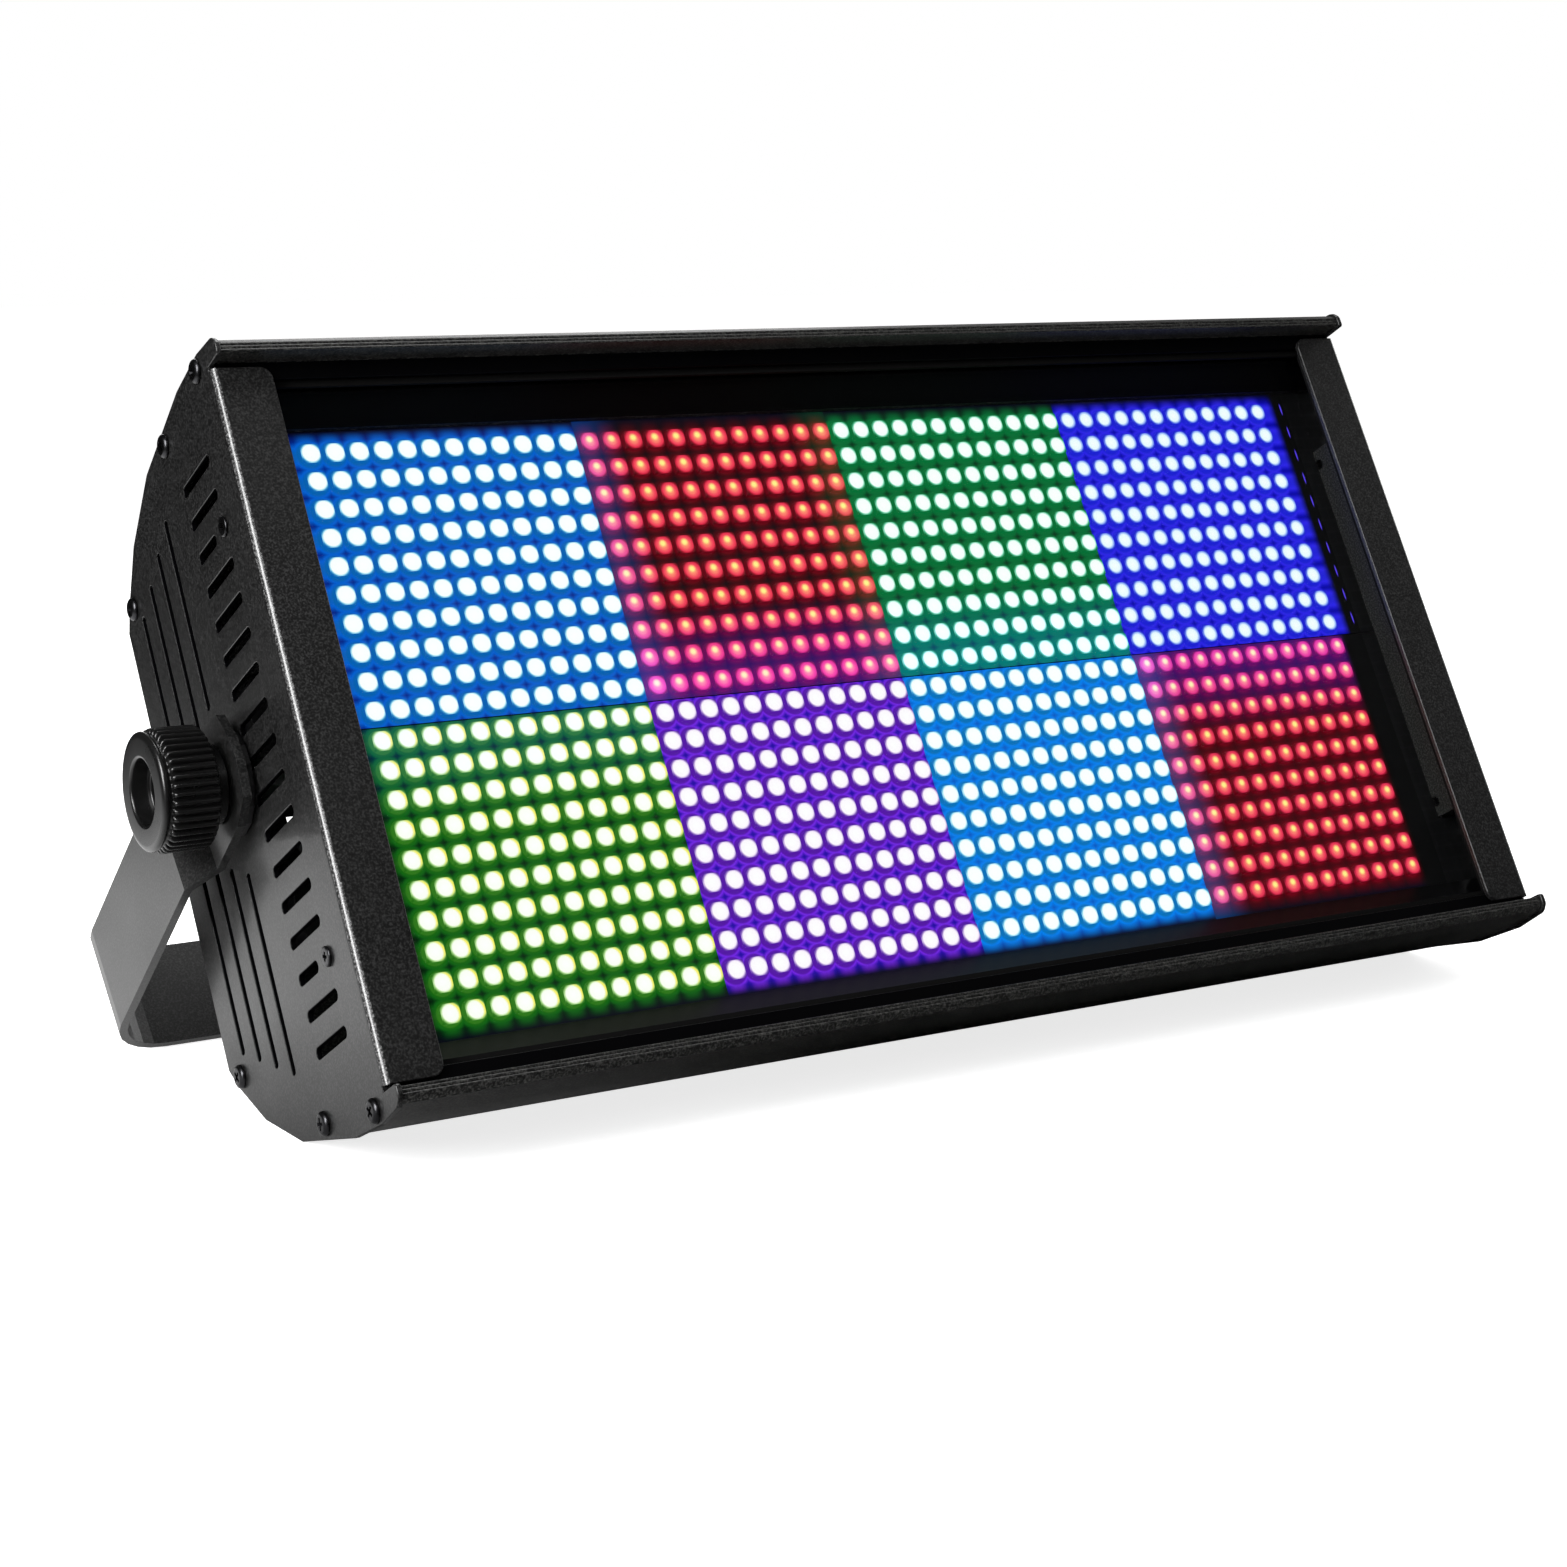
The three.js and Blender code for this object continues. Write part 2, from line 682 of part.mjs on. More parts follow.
// Power supply: flat case on the fin tips
place(head, 'power_supply', box([-supplyHalfWidth, supplyHalfWidth],
  [back(sinkBack + clearance), back(supplyBack)], [-supplyHalfHeight, supplyHalfHeight]), zincSteel);

// LED driver board on posts from the fin tips
function driverBoard() {
  const outer = plateOut - driverOuterMargin;
  const front = sinkBack + driverStandoff;
  const rear = front + boardThickness;
  const centre = -(outer + driverInner) / 2;
  const parts = [box([-outer, -driverInner], [back(front), back(rear)],
    [-driverHalfHeight, driverHalfHeight])];
  for (const x of [-outer + boardPostInset, -driverInner - boardPostInset]) {
    for (const [, half] of halves) {
      parts.push(rodY(x, [back(sinkBack + clearance), back(front + boardThickness / 2)],
        half * (driverHalfHeight - driverPostInset), boardPostRadius, smallRound));
    }
  }
  for (const row of [-1, 0, 1]) {
    for (const column of [-1, 1]) {
      const x = centre + column * (outer - driverInner) / 4;
      const z = row * driverHalfHeight * 2 / 3;
      parts.push(box([x - driverPartHalf, x + driverPartHalf],
        [back(front + boardThickness / 2), back(rear + driverPartHeight)],
        [z - driverPartHalf, z + driverPartHalf]));
    }
  }
  return joined(parts);
}
place(head, 'driver_board', driverBoard(), boardGreen);

// Rear panel with the fan grilles and the openings for controls and sockets
const buttonPlaces = Array.from({ length: buttonCount }, (_, i) => buttonFirst + i * buttonPitch);
const socketAt = index => (index - (socketPlaces - 1) / 2) * socketPitch;
const fusePlace = (socketPlaces - 1) / 2;

function rearPanel() {
  const shape = polygon([[-shellEnd, -rearPanelHalfHeight], [shellEnd, -rearPanelHalfHeight],
    [shellEnd, rearPanelHalfHeight], [-shellEnd, rearPanelHalfHeight]]);
  for (const [, side] of sides) {
    for (let i = 0; i < grilleSlots; i++) {
      const offset = (i - (grilleSlots - 1) / 2) * grilleSlotPitch;
      const reach = Math.sqrt(grilleRadius ** 2 - offset ** 2);
      shape.holes.push(slotUp(new THREE.Path(), side * fanCentre + offset, -reach, reach,
        grilleSlotWidth));
    }
    for (const [, half] of halves) {
      shape.holes.push(roundHole(side * (plateOut - rearPanelScrewSetback),
        half * rearPanelScrewHeight, screwHoleRadius, smallRound));
    }
  }
  for (let i = 0; i < socketPlaces; i++) {
    const radius = (i === fusePlace ? fuseRadius : socketRadius) + clearance;
    shape.holes.push(roundHole(socketAt(i), socketRowHeight, radius, round));
  }
  for (const x of buttonPlaces) {
    shape.holes.push(roundHole(x, controlsHeight, buttonRadius + clearance, round));
  }
  const halfWidth = displayWidth / 2 + clearance;
  const halfHeight = displayHeight / 2 + clearance;
  shape.holes.push(polygon([
    [displayCentre - halfWidth, controlsHeight - halfHeight],
    [displayCentre + halfWidth, controlsHeight - halfHeight],
    [displayCentre + halfWidth, controlsHeight + halfHeight],
    [displayCentre - halfWidth, controlsHeight + halfHeight]]));
  return alongY(shape, [back(panelFront), back(headDepth)]);
}
place(head, 'rear_panel', rearPanel(), blackPaint);

// Control board on posts from the rear panel, with a switch under each button
const switchBack = panelFront - clearance - buttonFlange - buttonTravel - 2 * clearance;

function controlBoard() {
  const left = displayCentre - displayWidth / 2 - displayFrame - controlBoardMargin;
  const right = buttonPlaces[buttonCount - 1] + controlBoardMargin + boardPostRadius;
  const parts = [box([left, right], [back(boardFront), back(boardBack)],
    [controlsHeight - controlBoardHalfHeight, controlsHeight + controlBoardHalfHeight])];
  for (const x of [left + boardPostInset, right - boardPostInset]) {
    for (const [, half] of halves) {
      parts.push(rodY(x, [back(boardFront + boardThickness / 2), back(panelFront - clearance)],
        controlsHeight + half * (controlBoardHalfHeight - boardPostInset), boardPostRadius, smallRound));
    }
  }
  for (const x of buttonPlaces) {
    parts.push(box([x - switchHalf, x + switchHalf],
      [back(boardFront + boardThickness / 2), back(switchBack)],
      [controlsHeight - switchHalf, controlsHeight + switchHalf]));
  }
  return joined(parts);
}
place(head, 'control_board', controlBoard(), boardGreen);

// Display module behind its window
const displayBody = box(
  [displayCentre - displayWidth / 2 - displayFrame, displayCentre + displayWidth / 2 + displayFrame],
  [back(boardBack + clearance), back(panelFront - clearance)],
  [controlsHeight - displayHeight / 2 - displayFrame, controlsHeight + displayHeight / 2 + displayFrame]);
const displayScreen = box(
  [displayCentre - displayWidth / 2, displayCentre + displayWidth / 2],
  [back(boardBack + 2 * clearance), back(headDepth - displaySink)],
  [controlsHeight - displayHeight / 2, controlsHeight + displayHeight / 2]);
place(head, 'display', displayBody.add(displayScreen), displayBlue);

// Menu buttons: a stem through the panel with a flange behind it
const buttonNames = ['menu_button', 'up_button', 'down_button', 'enter_button'];
buttonNames.forEach((name, i) => {
  const flangeBack = panelFront - clearance;
  const stem = rodY(buttonPlaces[i], [back(flangeBack - buttonFlange), back(headDepth + buttonProud)],
    controlsHeight, buttonRadius, round);
  const flange = rodY(buttonPlaces[i], [back(flangeBack - buttonFlange), back(flangeBack)],
    controlsHeight, buttonFlangeRadius, round);
  place(head, name, stem.add(flange), greyPlastic);
});

// Sockets: a flange on the panel and a barrel through it
function socketBody(index) {
  const x = socketAt(index);
  const flange = alongY(roundedRect(x, socketRowHeight, socketFlangeWidth / 2, socketFlangeHeight / 2,
    socketFlangeCorner), [back(panelFace), back(panelFace + socketFlange)]);
  const barrel = rodY(x, [back(socketFront), back(panelFace + socketFlange / 2)],
    socketRowHeight, socketRadius, round);
  return flange.add(barrel);
}

const socketFace = panelFace + socketFlange;

function dmxIn(index) {
  const x = socketAt(index);
  const floor = socketFace - socketMouthDepth;
  const mouth = rodY(x, [back(floor), back(socketFace + overrun)], socketRowHeight,
    socketMouthRadius, round);
  const pins = Array.from({ length: socketPinCount }, (_, i) => {
    const angle = Math.PI * (i + 1) / 2;
    return rodY(x + socketPinCircle * Math.cos(angle), [back(floor - overrun), back(floor + socketPinLength)],
      socketRowHeight + socketPinCircle * Math.sin(angle), socketPinRadius, smallRound);
  });
  return joined([socketBody(index).subtract(mouth), ...pins]);
}

function dmxOut(index) {
  const x = socketAt(index);
  const floor = socketFace - socketMouthDepth;
  const depth = [back(floor), back(socketFace + overrun)];
  const ring = rodY(x, depth, socketRowHeight, socketMouthRadius, round)
    .subtract(rodY(x, [back(floor - overrun), back(socketFace + 2 * overrun)], socketRowHeight,
      socketMouthRadius - socketRingWidth, round));
  const holes = Array.from({ length: socketPinCount }, (_, i) => {
    const angle = Math.PI * (i + 1) / 2;
    return rodY(x + socketPinCircle * Math.cos(angle), depth,
      socketRowHeight + socketPinCircle * Math.sin(angle), socketPinHoleRadius, smallRound);
  });
  return cutFrom(socketBody(index), [ring, ...holes]);
}

function powerSocket(index, keySide) {
  const x = socketAt(index);
  const floor = socketFace - socketMouthDepth;
  const mouth = rodY(x, [back(floor), back(socketFace + overrun)], socketRowHeight,
    powerMouthRadius, round);
  const post = rodY(x, [back(floor - overrun), back(floor + powerPostLength)], socketRowHeight,
    powerPostRadius, round);
  const key = box([x - powerKeyWidth / 2, x + powerKeyWidth / 2],
    [back(floor - overrun), back(floor + powerPostLength)],
    [socketRowHeight, socketRowHeight + keySide * (powerPostRadius + powerKeyWidth / 2)]);
  return joined([socketBody(index).subtract(mouth), post, key]);
}
place(head, 'dmx_in', dmxIn(0), blackPlastic);
place(head, 'dmx_out', dmxOut(1), blackPlastic);
place(head, 'power_inlet', powerSocket(fusePlace + 1, 1), bluePlastic);
place(head, 'power_outlet', powerSocket(fusePlace + 2, -1), greyPlastic);

// Fuse holder and its cap
const fuseX = socketAt(fusePlace);
const fuseFlange = rodY(fuseX, [back(panelFace), back(socketFace)], socketRowHeight,
  fuseFlangeRadius, round);
const fuseBarrel = rodY(fuseX, [back(socketFront), back(panelFace + socketFlange / 2)],
  socketRowHeight, fuseRadius, round);
const fuseBore = rodY(fuseX, [back(socketFace - fuseStubLength - clearance), back(socketFace + overrun)],
  socketRowHeight, fuseBoreRadius, round);
place(head, 'fuse_holder', fuseFlange.add(fuseBarrel).subtract(fuseBore), blackPlastic);
const fuseCapIn = socketFace + clearance;
const fuseCapOut = fuseCapIn + fuseCapHeight;
const fuseCap = rodY(fuseX, [back(fuseCapIn), back(fuseCapOut)], socketRowHeight, fuseCapRadius, round);
const fuseStub = rodY(fuseX, [back(socketFace - fuseStubLength), back(fuseCapIn + fuseCapHeight / 2)],
  socketRowHeight, fuseBoreRadius - clearance, round);
const fuseSlot = box([fuseX - fuseCapRadius - overrun, fuseX + fuseCapRadius + overrun],
  [back(fuseCapOut - fuseSlotDepth), back(fuseCapOut + overrun)],
  [socketRowHeight - fuseSlotWidth / 2, socketRowHeight + fuseSlotWidth / 2]);
place(head, 'fuse_cap', fuseCap.add(fuseStub).subtract(fuseSlot), blackPlastic);

// Fans: a square frame with a hub on four struts, and a rotor on the hub's bore
function fanFrame(x) {
  const shape = roundedRect(x, 0, fanSize / 2, fanSize / 2, fanCorner);
  shape.holes.push(roundHole(x, 0, fanOpening, largeRound));
  const ring = alongY(shape, [back(fanFront), back(fanBack)]);
  const ys = [back(fanFront), back(fanFront + fanHubDepth)];
  const hub = rodY(x, ys, 0, fanHubRadius, round);
  const reach = fanOpening + overrun;
  const struts = [
    box([x - reach, x + reach], ys, [-fanStrutWidth / 2, fanStrutWidth / 2]),
    box([x - fanStrutWidth / 2, x + fanStrutWidth / 2], ys, [-reach, reach]),
  ];
  const bore = rodY(x, [back(fanFront - overrun), back(fanFront + fanHubDepth + overrun)], 0,
    rotorShaftRadius + clearance, round);
  return joined([ring, hub, ...struts]).subtract(bore);
}

function fanRotor(x) {
  const front = fanFront + fanHubDepth + clearance;
  const ys = [back(front), back(front + rotorDepth)];
  const hub = rodY(x, ys, 0, rotorHubRadius, round);
  const shaft = rodY(x, [back(fanFront), back(front + rotorDepth / 2)], 0, rotorShaftRadius, smallRound);
  const middle = back(front + rotorDepth / 2);
  const blades = Array.from({ length: bladeCount }, (_, i) => {
    const geometry = new THREE.BoxGeometry(bladeChord, bladeThickness, rotorRadius);
    geometry.rotateZ(bladePitch).translate(0, 0, rotorRadius / 2);
    geometry.rotateY(2 * Math.PI * i / bladeCount).translate(x, middle, 0);
    return toSolid(geometry);
  });
  const swept = rodY(x, ys, 0, rotorRadius, largeRound);
  return joined([joined(blades).intersect(swept), hub, shaft]);
}
for (const [sideName, side] of sides) {
  place(head, `${sideName}_fan_frame`, fanFrame(side * fanCentre), blackPlastic);
  place(head, `${sideName}_fan_rotor`, fanRotor(side * fanCentre), blackPlastic);
}

// Safety eye: folded strap on the rear panel
const eyePath = [
  [-eyeHalfSpan - eyeFoot, back(panelFace)],
  [-eyeHalfSpan, back(panelFace)],
  [-eyeHalfSpan, back(panelFace + eyeReach)],
  [eyeHalfSpan, back(panelFace + eyeReach)],
  [eyeHalfSpan, back(panelFace)],
  [eyeHalfSpan + eyeFoot, back(panelFace)],
];
place(head, 'safety_eye', alongZ(bandShape(eyePath, 0, -eyeStrap),
  [eyeHeight - eyeWidth / 2, eyeHeight + eyeWidth / 2]), blackScrew);

// Screws: head, cross recess and shank, made along y and turned into place
function screw(length, headRadius, topRadius, headHeight, recessLength) {
  const profile = [[0, -length], [screwRadius, -length], [screwRadius, 0], [headRadius, 0],
    [topRadius, headHeight], [0, headHeight]];
  const body = new THREE.LatheGeometry(profile.map(([r, h]) => new THREE.Vector2(r, h)), smallRound);
  const depth = [headHeight - screwRecessDepth, headHeight + overrun];
  const arm = [-recessLength / 2, recessLength / 2];
  const across = [-screwRecessWidth / 2, screwRecessWidth / 2];
  return cutFrom(toSolid(body), [box(arm, depth, across), box(across, depth, arm)]);
}
const panScrew = screw(screwLength, screwHeadRadius, screwHeadTopRadius, screwHeadHeight,
  screwRecessLength);
const flatScrew = screw(glassScrewLength, glassScrewHeadRadius, glassScrewHeadTopRadius,
  glassScrewHeadHeight, glassScrewRecessLength);

function placeScrew(name, solid, turn, position) {
  const mesh = new THREE.Mesh(toGeometry(solid), blackScrew);
  mesh.name = name;
  mesh.rotation.z = turn;
  mesh.position.set(...position);
  head.add(mesh);
}
for (const [sideName, side] of sides) {
  for (const [halfName, half] of halves) {
    for (const [placeName, depth, height] of endScrewPlaces) {
      placeScrew(`${sideName}_${halfName}_${placeName}_screw`, placeName === 'glass' ? flatScrew : panScrew,
        -side * Math.PI / 2, [side * (plateOut + clearance), back(depth), half * height]);
    }
    placeScrew(`${sideName}_${halfName}_panel_screw`, panScrew, 0,
      [side * (plateOut - rearPanelScrewSetback), back(panelFace), half * rearPanelScrewHeight]);
  }
}

// Pivot nuts inside the end plates
for (const [sideName, side] of sides) {
  const flangeIn = shellEnd - nutFlange;
  const body = rodX([side * shellEnd, side * (shellEnd - nutHeight)], 0, 0, nutRadius, 6);
  const flange = rodX([side * shellEnd, side * flangeIn], 0, 0, nutFlangeRadius, round);
  const bore = rodX([side * plateOut, side * (shellEnd - nutHeight - overrun)], 0, 0,
    boltHoleRadius, round);
  place(head, `${sideName}_pivot_nut`, body.add(flange).subtract(bore), zincSteel);
}

// Knobs: ribbed plastic with a hub on the bracket's ear and a well for the bolt's head
function knob(side) {
  const points = [];
  for (let i = 0; i < knobRibs; i++) {
    const step = 2 * Math.PI / knobRibs;
    const half = step * knobRibTipShare / 2;
    for (const [angle, radius] of [[-half, knobRadius], [half, knobRadius],
      [half + step / 8, knobRadius - knobRibDepth], [step - half - step / 8, knobRadius - knobRibDepth]]) {
      points.push([radius * Math.cos(i * step + angle), radius * Math.sin(i * step + angle)]);
    }
  }
  const ribs = alongX(polygon(points), [side * knobBase, side * (knobFace - knobEdge)]);
  const edge = new THREE.CylinderGeometry(knobFaceRadius, knobRadius - knobRibDepth / 2, knobEdge, round);
  edge.rotateZ(-side * Math.PI / 2).translate(side * (knobFace - knobEdge / 2), 0, 0);
  const hub = rodX([side * knobHubIn, side * (knobBase + overrun)], 0, 0, knobHubRadius, round);
  const cuts = [
    rodX([side * (knobFace - knobRecessDepth), side * (knobFace + overrun)], 0, 0,
      knobRecessRadius, round),
    rodX([side * knobFloor, side * knobFace], 0, 0, knobWellRadius, round),
    rodX([side * (knobHubIn - overrun), side * knobFace], 0, 0, boltHoleRadius, round),
  ];
  return cutFrom(joined([ribs, toSolid(edge), hub]), cuts);
}

// Knob bolts: socket head in the knob's well, shank to the nut inside the end plate
function knobBolt(side) {
  const headIn = knobFloor + clearance;
  const headOut = headIn + boltHeadHeight;
  const capHead = rodX([side * headIn, side * headOut], 0, 0, boltHeadRadius, round);
  const shank = rodX([side * (plateOut - boltEnd), side * (headIn + overrun)], 0, 0, boltRadius, round);
  const socket = rodX([side * (headOut - boltSocketDepth), side * (headOut + overrun)], 0, 0,
    boltSocketRadius, 6);
  return capHead.add(shank).subtract(socket);
}

// Washers between the ears and the end plates
function washer(side) {
  const xs = [side * (plateOut + clearance), side * washerOut];
  const bore = rodX([side * plateIn, side * (washerOut + overrun)], 0, 0, boltHoleRadius, round);
  return rodX(xs, 0, 0, washerRadius, round).subtract(bore);
}
for (const [sideName, side] of sides) {
  place(head, `${sideName}_washer`, washer(side), blackPlastic);
  place(head, `${sideName}_knob`, knob(side), blackPlastic);
  place(head, `${sideName}_knob_bolt`, knobBolt(side), blackScrew);
}

// Bracket: one folded strap, drawn with its crossbar straight behind the tilt axis
function bracket() {
  const bend = [];
  for (let i = 0; i <= 2 * bendSteps; i++) {
    const angle = Math.PI / 2 * i / (2 * bendSteps);
    bend.push([armOut - strapBend + strapBend * Math.cos(angle),
      strapReach - strapBend + strapBend * Math.sin(angle)]);
  }
  const rightPath = [[earOut, -earFront], [earOut, joggleStart], [armOut, joggleStart + joggleRun], ...bend];
  const leftPath = rightPath.map(([x, y]) => [-x, y]).reverse();
  const strip = alongZ(bandShape([...rightPath, ...leftPath], 0, -strap),
    [-strapWidth / 2, strapWidth / 2]);
  const side = new THREE.Shape();
  const half = strapWidth / 2;
  side.moveTo(strapReach + overrun, -half);
  side.lineTo(strapReach + overrun, half);
  side.lineTo(earCorner - earFront, half);
  side.quadraticCurveTo(-earFront, half, -earFront, half - earCorner);
  side.lineTo(-earFront, earCorner - half);
  side.quadraticCurveTo(-earFront, -half, earCorner - earFront, -half);
  const trimmed = strip.intersect(alongX(side, [-armOut - overrun, armOut + overrun]));
  const pivotHole = rodX([-armOut - overrun, armOut + overrun], 0, 0, boltHoleRadius, round);
  const depth = [strapReach - strap - overrun, strapReach + overrun];
  const holes = [
    rodY(0, depth, 0, clampHoleRadius, round),
    rodY(-sideHoleOffset, depth, 0, sideHoleRadius, round),
    rodY(sideHoleOffset, depth, 0, sideHoleRadius, round),
  ];
  return cutFrom(trimmed, [pivotHole, ...holes]);
}

// The head leans back until its lower rear face lies level, and the crossbar reaches the same level
const groundBelow = Math.cos(restTilt) * restHeight + Math.sin(restTilt) * back(restDepth);
const strapCorner = Math.hypot(strapReach, strapWidth / 2);
const strapCornerAngle = Math.atan2(strapWidth / 2, strapReach);
const bracketDrop = Math.asin(groundBelow / strapCorner) - strapCornerAngle;
head.rotation.x = -restTilt;
const arms = new THREE.Group();
arms.rotation.x = -bracketDrop;
place(arms, 'bracket', bracket(), blackPaint);

// Origin under the middle of the whole lamp, on the surface that it stands on
const lamp = new THREE.Group();
lamp.add(head, arms);
lamp.updateMatrixWorld(true);
const bounds = new THREE.Box3().setFromObject(lamp, true);
const centre = bounds.getCenter(new THREE.Vector3());
lamp.position.set(-centre.x, -centre.y, -bounds.min.z);

export default lamp;
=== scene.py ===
import math

import bmesh
import bpy
from mathutils import Matrix, Vector


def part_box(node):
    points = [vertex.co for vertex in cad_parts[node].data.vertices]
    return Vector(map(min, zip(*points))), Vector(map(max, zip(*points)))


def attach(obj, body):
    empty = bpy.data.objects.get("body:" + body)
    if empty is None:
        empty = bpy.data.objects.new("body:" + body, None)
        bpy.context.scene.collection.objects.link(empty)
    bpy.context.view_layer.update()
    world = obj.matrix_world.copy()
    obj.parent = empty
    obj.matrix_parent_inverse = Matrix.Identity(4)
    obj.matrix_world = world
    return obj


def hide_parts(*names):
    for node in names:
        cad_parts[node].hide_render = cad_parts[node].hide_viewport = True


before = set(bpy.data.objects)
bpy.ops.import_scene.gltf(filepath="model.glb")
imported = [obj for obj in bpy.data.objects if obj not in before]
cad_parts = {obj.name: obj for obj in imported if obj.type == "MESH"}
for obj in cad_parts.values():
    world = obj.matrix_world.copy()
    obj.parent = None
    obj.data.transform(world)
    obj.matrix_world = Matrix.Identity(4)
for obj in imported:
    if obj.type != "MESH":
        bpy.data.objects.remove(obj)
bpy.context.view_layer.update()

# Housing shells: the top and the bottom of the lamp are two aluminium extrusions,
# powder coated black. Each has a grooved front rail, a lip in front of the glass and
# a gloss black web behind it, and is cut to length between the end plates. The lip's
# face and the web take a near-black material: the web's own gloss black, darkened as
# painted shade, and painted shade on the lip's face under the rail.
mm = 0.001
low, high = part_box("left_washer")
pivot = (low + high) / 2
pivot.x = 0
lean = math.radians(28.8)
head = Matrix.Translation(pivot) @ Matrix.Rotation(-lean, 4, "X")
pivot_depth = 50


def at(x, depth, height):
    """A point of the head in metres, depth counted from the flanges' front face."""
    return Vector((x, depth - pivot_depth, height)) * mm


def tone(red, green, blue):
    """A colour given as it looks on a screen, 0 to 255."""
    shares = [c / 255 for c in (red, green, blue)]
    linear = [c / 12.92 if c <= 0.04045 else ((c + 0.055) / 1.055) ** 2.4 for c in shares]
    return (*linear, 1)


def finish(name, colour, roughness, metallic=0, shine=0.5):
    """A new material, its node tree and its shader, ready for a pattern."""
    material = bpy.data.materials.new(name)
    material.use_nodes = True
    shader = material.node_tree.nodes["Principled BSDF"]
    shader.inputs["Base Color"].default_value = colour
    shader.inputs["Roughness"].default_value = roughness
    shader.inputs["Metallic"].default_value = metallic
    shader.inputs["Specular IOR Level"].default_value = shine
    return material, material.node_tree, shader


def add(tree, kind, inputs=None, **settings):
    """A node with its settings; each input is given a value or another node's socket."""
    node = tree.nodes.new("ShaderNode" + kind)
    for key, value in settings.items():
        setattr(node, key, value)
    for key, value in (inputs or {}).items():
        if isinstance(value, bpy.types.NodeSocket):
            tree.links.new(value, node.inputs[key])
        else:
            node.inputs[key].default_value = value
    return node


def points_of(geometry):
    """The points among the elements that a mesh operator gives back."""
    return [v for v in geometry if isinstance(v, bmesh.types.BMVert)]


def powder_coat(name, dark, light, grain, rough=0.46, film=0.35, gloss=0.17):
    """Fine-textured powder paint: grains, a little orange peel, an uneven sheen and a film."""
    material, tree, shader = finish(name, dark, rough, shine=0.3)
    shader.inputs["Coat Weight"].default_value = film
    shader.inputs["Coat Roughness"].default_value = gloss
    place = add(tree, "TexCoord").outputs["Object"]
    grains = add(tree, "TexNoise", {"Vector": place, "Scale": 1 / (grain * mm), "Detail": 3})
    peel = add(tree, "TexNoise", {"Vector": place, "Scale": 160, "Detail": 1})
    patches = add(tree, "TexNoise", {"Vector": place, "Scale": 22, "Detail": 2})
    specks = add(tree, "MapRange", {"Value": grains.outputs[0], "From Min": 0.44, "From Max": 0.7})
    colour = add(tree, "MixRGB", {"Fac": specks.outputs[0], "Color1": dark, "Color2": light})
    sheen = add(tree, "MapRange", {"Value": patches.outputs[0], "From Min": 0.3, "From Max": 0.7,
                                   "To Min": rough - 0.04, "To Max": rough + 0.05})
    coarse = add(tree, "Bump", {"Height": peel.outputs[0], "Strength": 0.25, "Distance": 0.06 * mm})
    fine = add(tree, "Bump", {"Height": grains.outputs[0], "Strength": 0.5, "Distance": 0.04 * mm,
                              "Normal": coarse.outputs[0]})
    tree.links.new(colour.outputs[0], shader.inputs["Base Color"])
    tree.links.new(sheen.outputs[0], shader.inputs["Roughness"])
    tree.links.new(fine.outputs[0], shader.inputs["Normal"])
    return material


def fit(name, mesh, materials, stands_for=(), body="head", place=head):
    """Makes a drawn piece an object at its place, shaded smooth up to its real edges."""
    bmesh.ops.transform(mesh, matrix=place, verts=mesh.verts)
    data = bpy.data.meshes.new(name)
    mesh.to_mesh(data)
    mesh.free()
    data.shade_smooth()
    data.set_sharp_from_angle(angle=math.radians(50))
    piece = bpy.data.objects.new(name, data)
    bpy.context.scene.collection.objects.link(piece)
    for material in materials:
        data.materials.append(material)
    piece.modifiers.new("flat faces stay flat", "WEIGHTED_NORMAL").keep_sharp = True
    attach(piece, body)
    if stands_for:
        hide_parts(*stands_for)
    return piece


shell_length = 396.4
arris_angle = math.radians(20)
arris_round = 0.25
# Depths and height of the faces given the near-black painted shade: the lip's face and the web.
web_front = 1
web_back = 16
web_top = 102.6
shell_outline = [
    (1.8, 97.3), (1.8, 102.3), (-5.2, 102.3), (-5.2, 102.9), (-4.95, 103.1), (-5.2, 103.3),
    (-5.2, 103.9), (-4.95, 104.1), (-5.2, 104.3), (-5.2, 104.8), (-3.5, 106.5), (8.0, 107.7),
    (26.9, 106.2), (61.7, 97.8), (83.5, 85.8), (97.4, 72.9), (102.2, 66.7), (101.2, 66.0),
    (101.2, 50.0), (99.4, 50.0), (99.4, 66.6), (96.0, 71.7), (82.6, 84.2), (61.0, 96.1),
    (26.7, 104.4), (9.8, 105.6), (9.8, 96.7), (15.9, 90.0), (18.4, 90.0), (18.4, 88.4),
    (15.2, 88.4), (8.2, 96.0), (8.2, 104.0), (3.3, 104.0), (3.3, 97.3),
]
housing_paint = powder_coat("housing powder coat", tone(9, 9, 9), tone(60, 60, 58), 0.6, film=0.1)
# Near-black material: painted shade on the lip's face, on the web and in the end plates' cuts, over the
# web's own gloss black.
painted_shade_black, tree, shader = finish("painted shade black", tone(2, 2, 3), 0.4, shine=0.08)
place = add(tree, "TexCoord").outputs["Object"]
ripple = add(tree, "TexNoise", {"Vector": place, "Scale": 90, "Detail": 2})
waves = add(tree, "Bump", {"Height": ripple.outputs[0], "Strength": 0.1, "Distance": 0.05 * mm})
tree.links.new(waves.outputs[0], shader.inputs["Normal"])
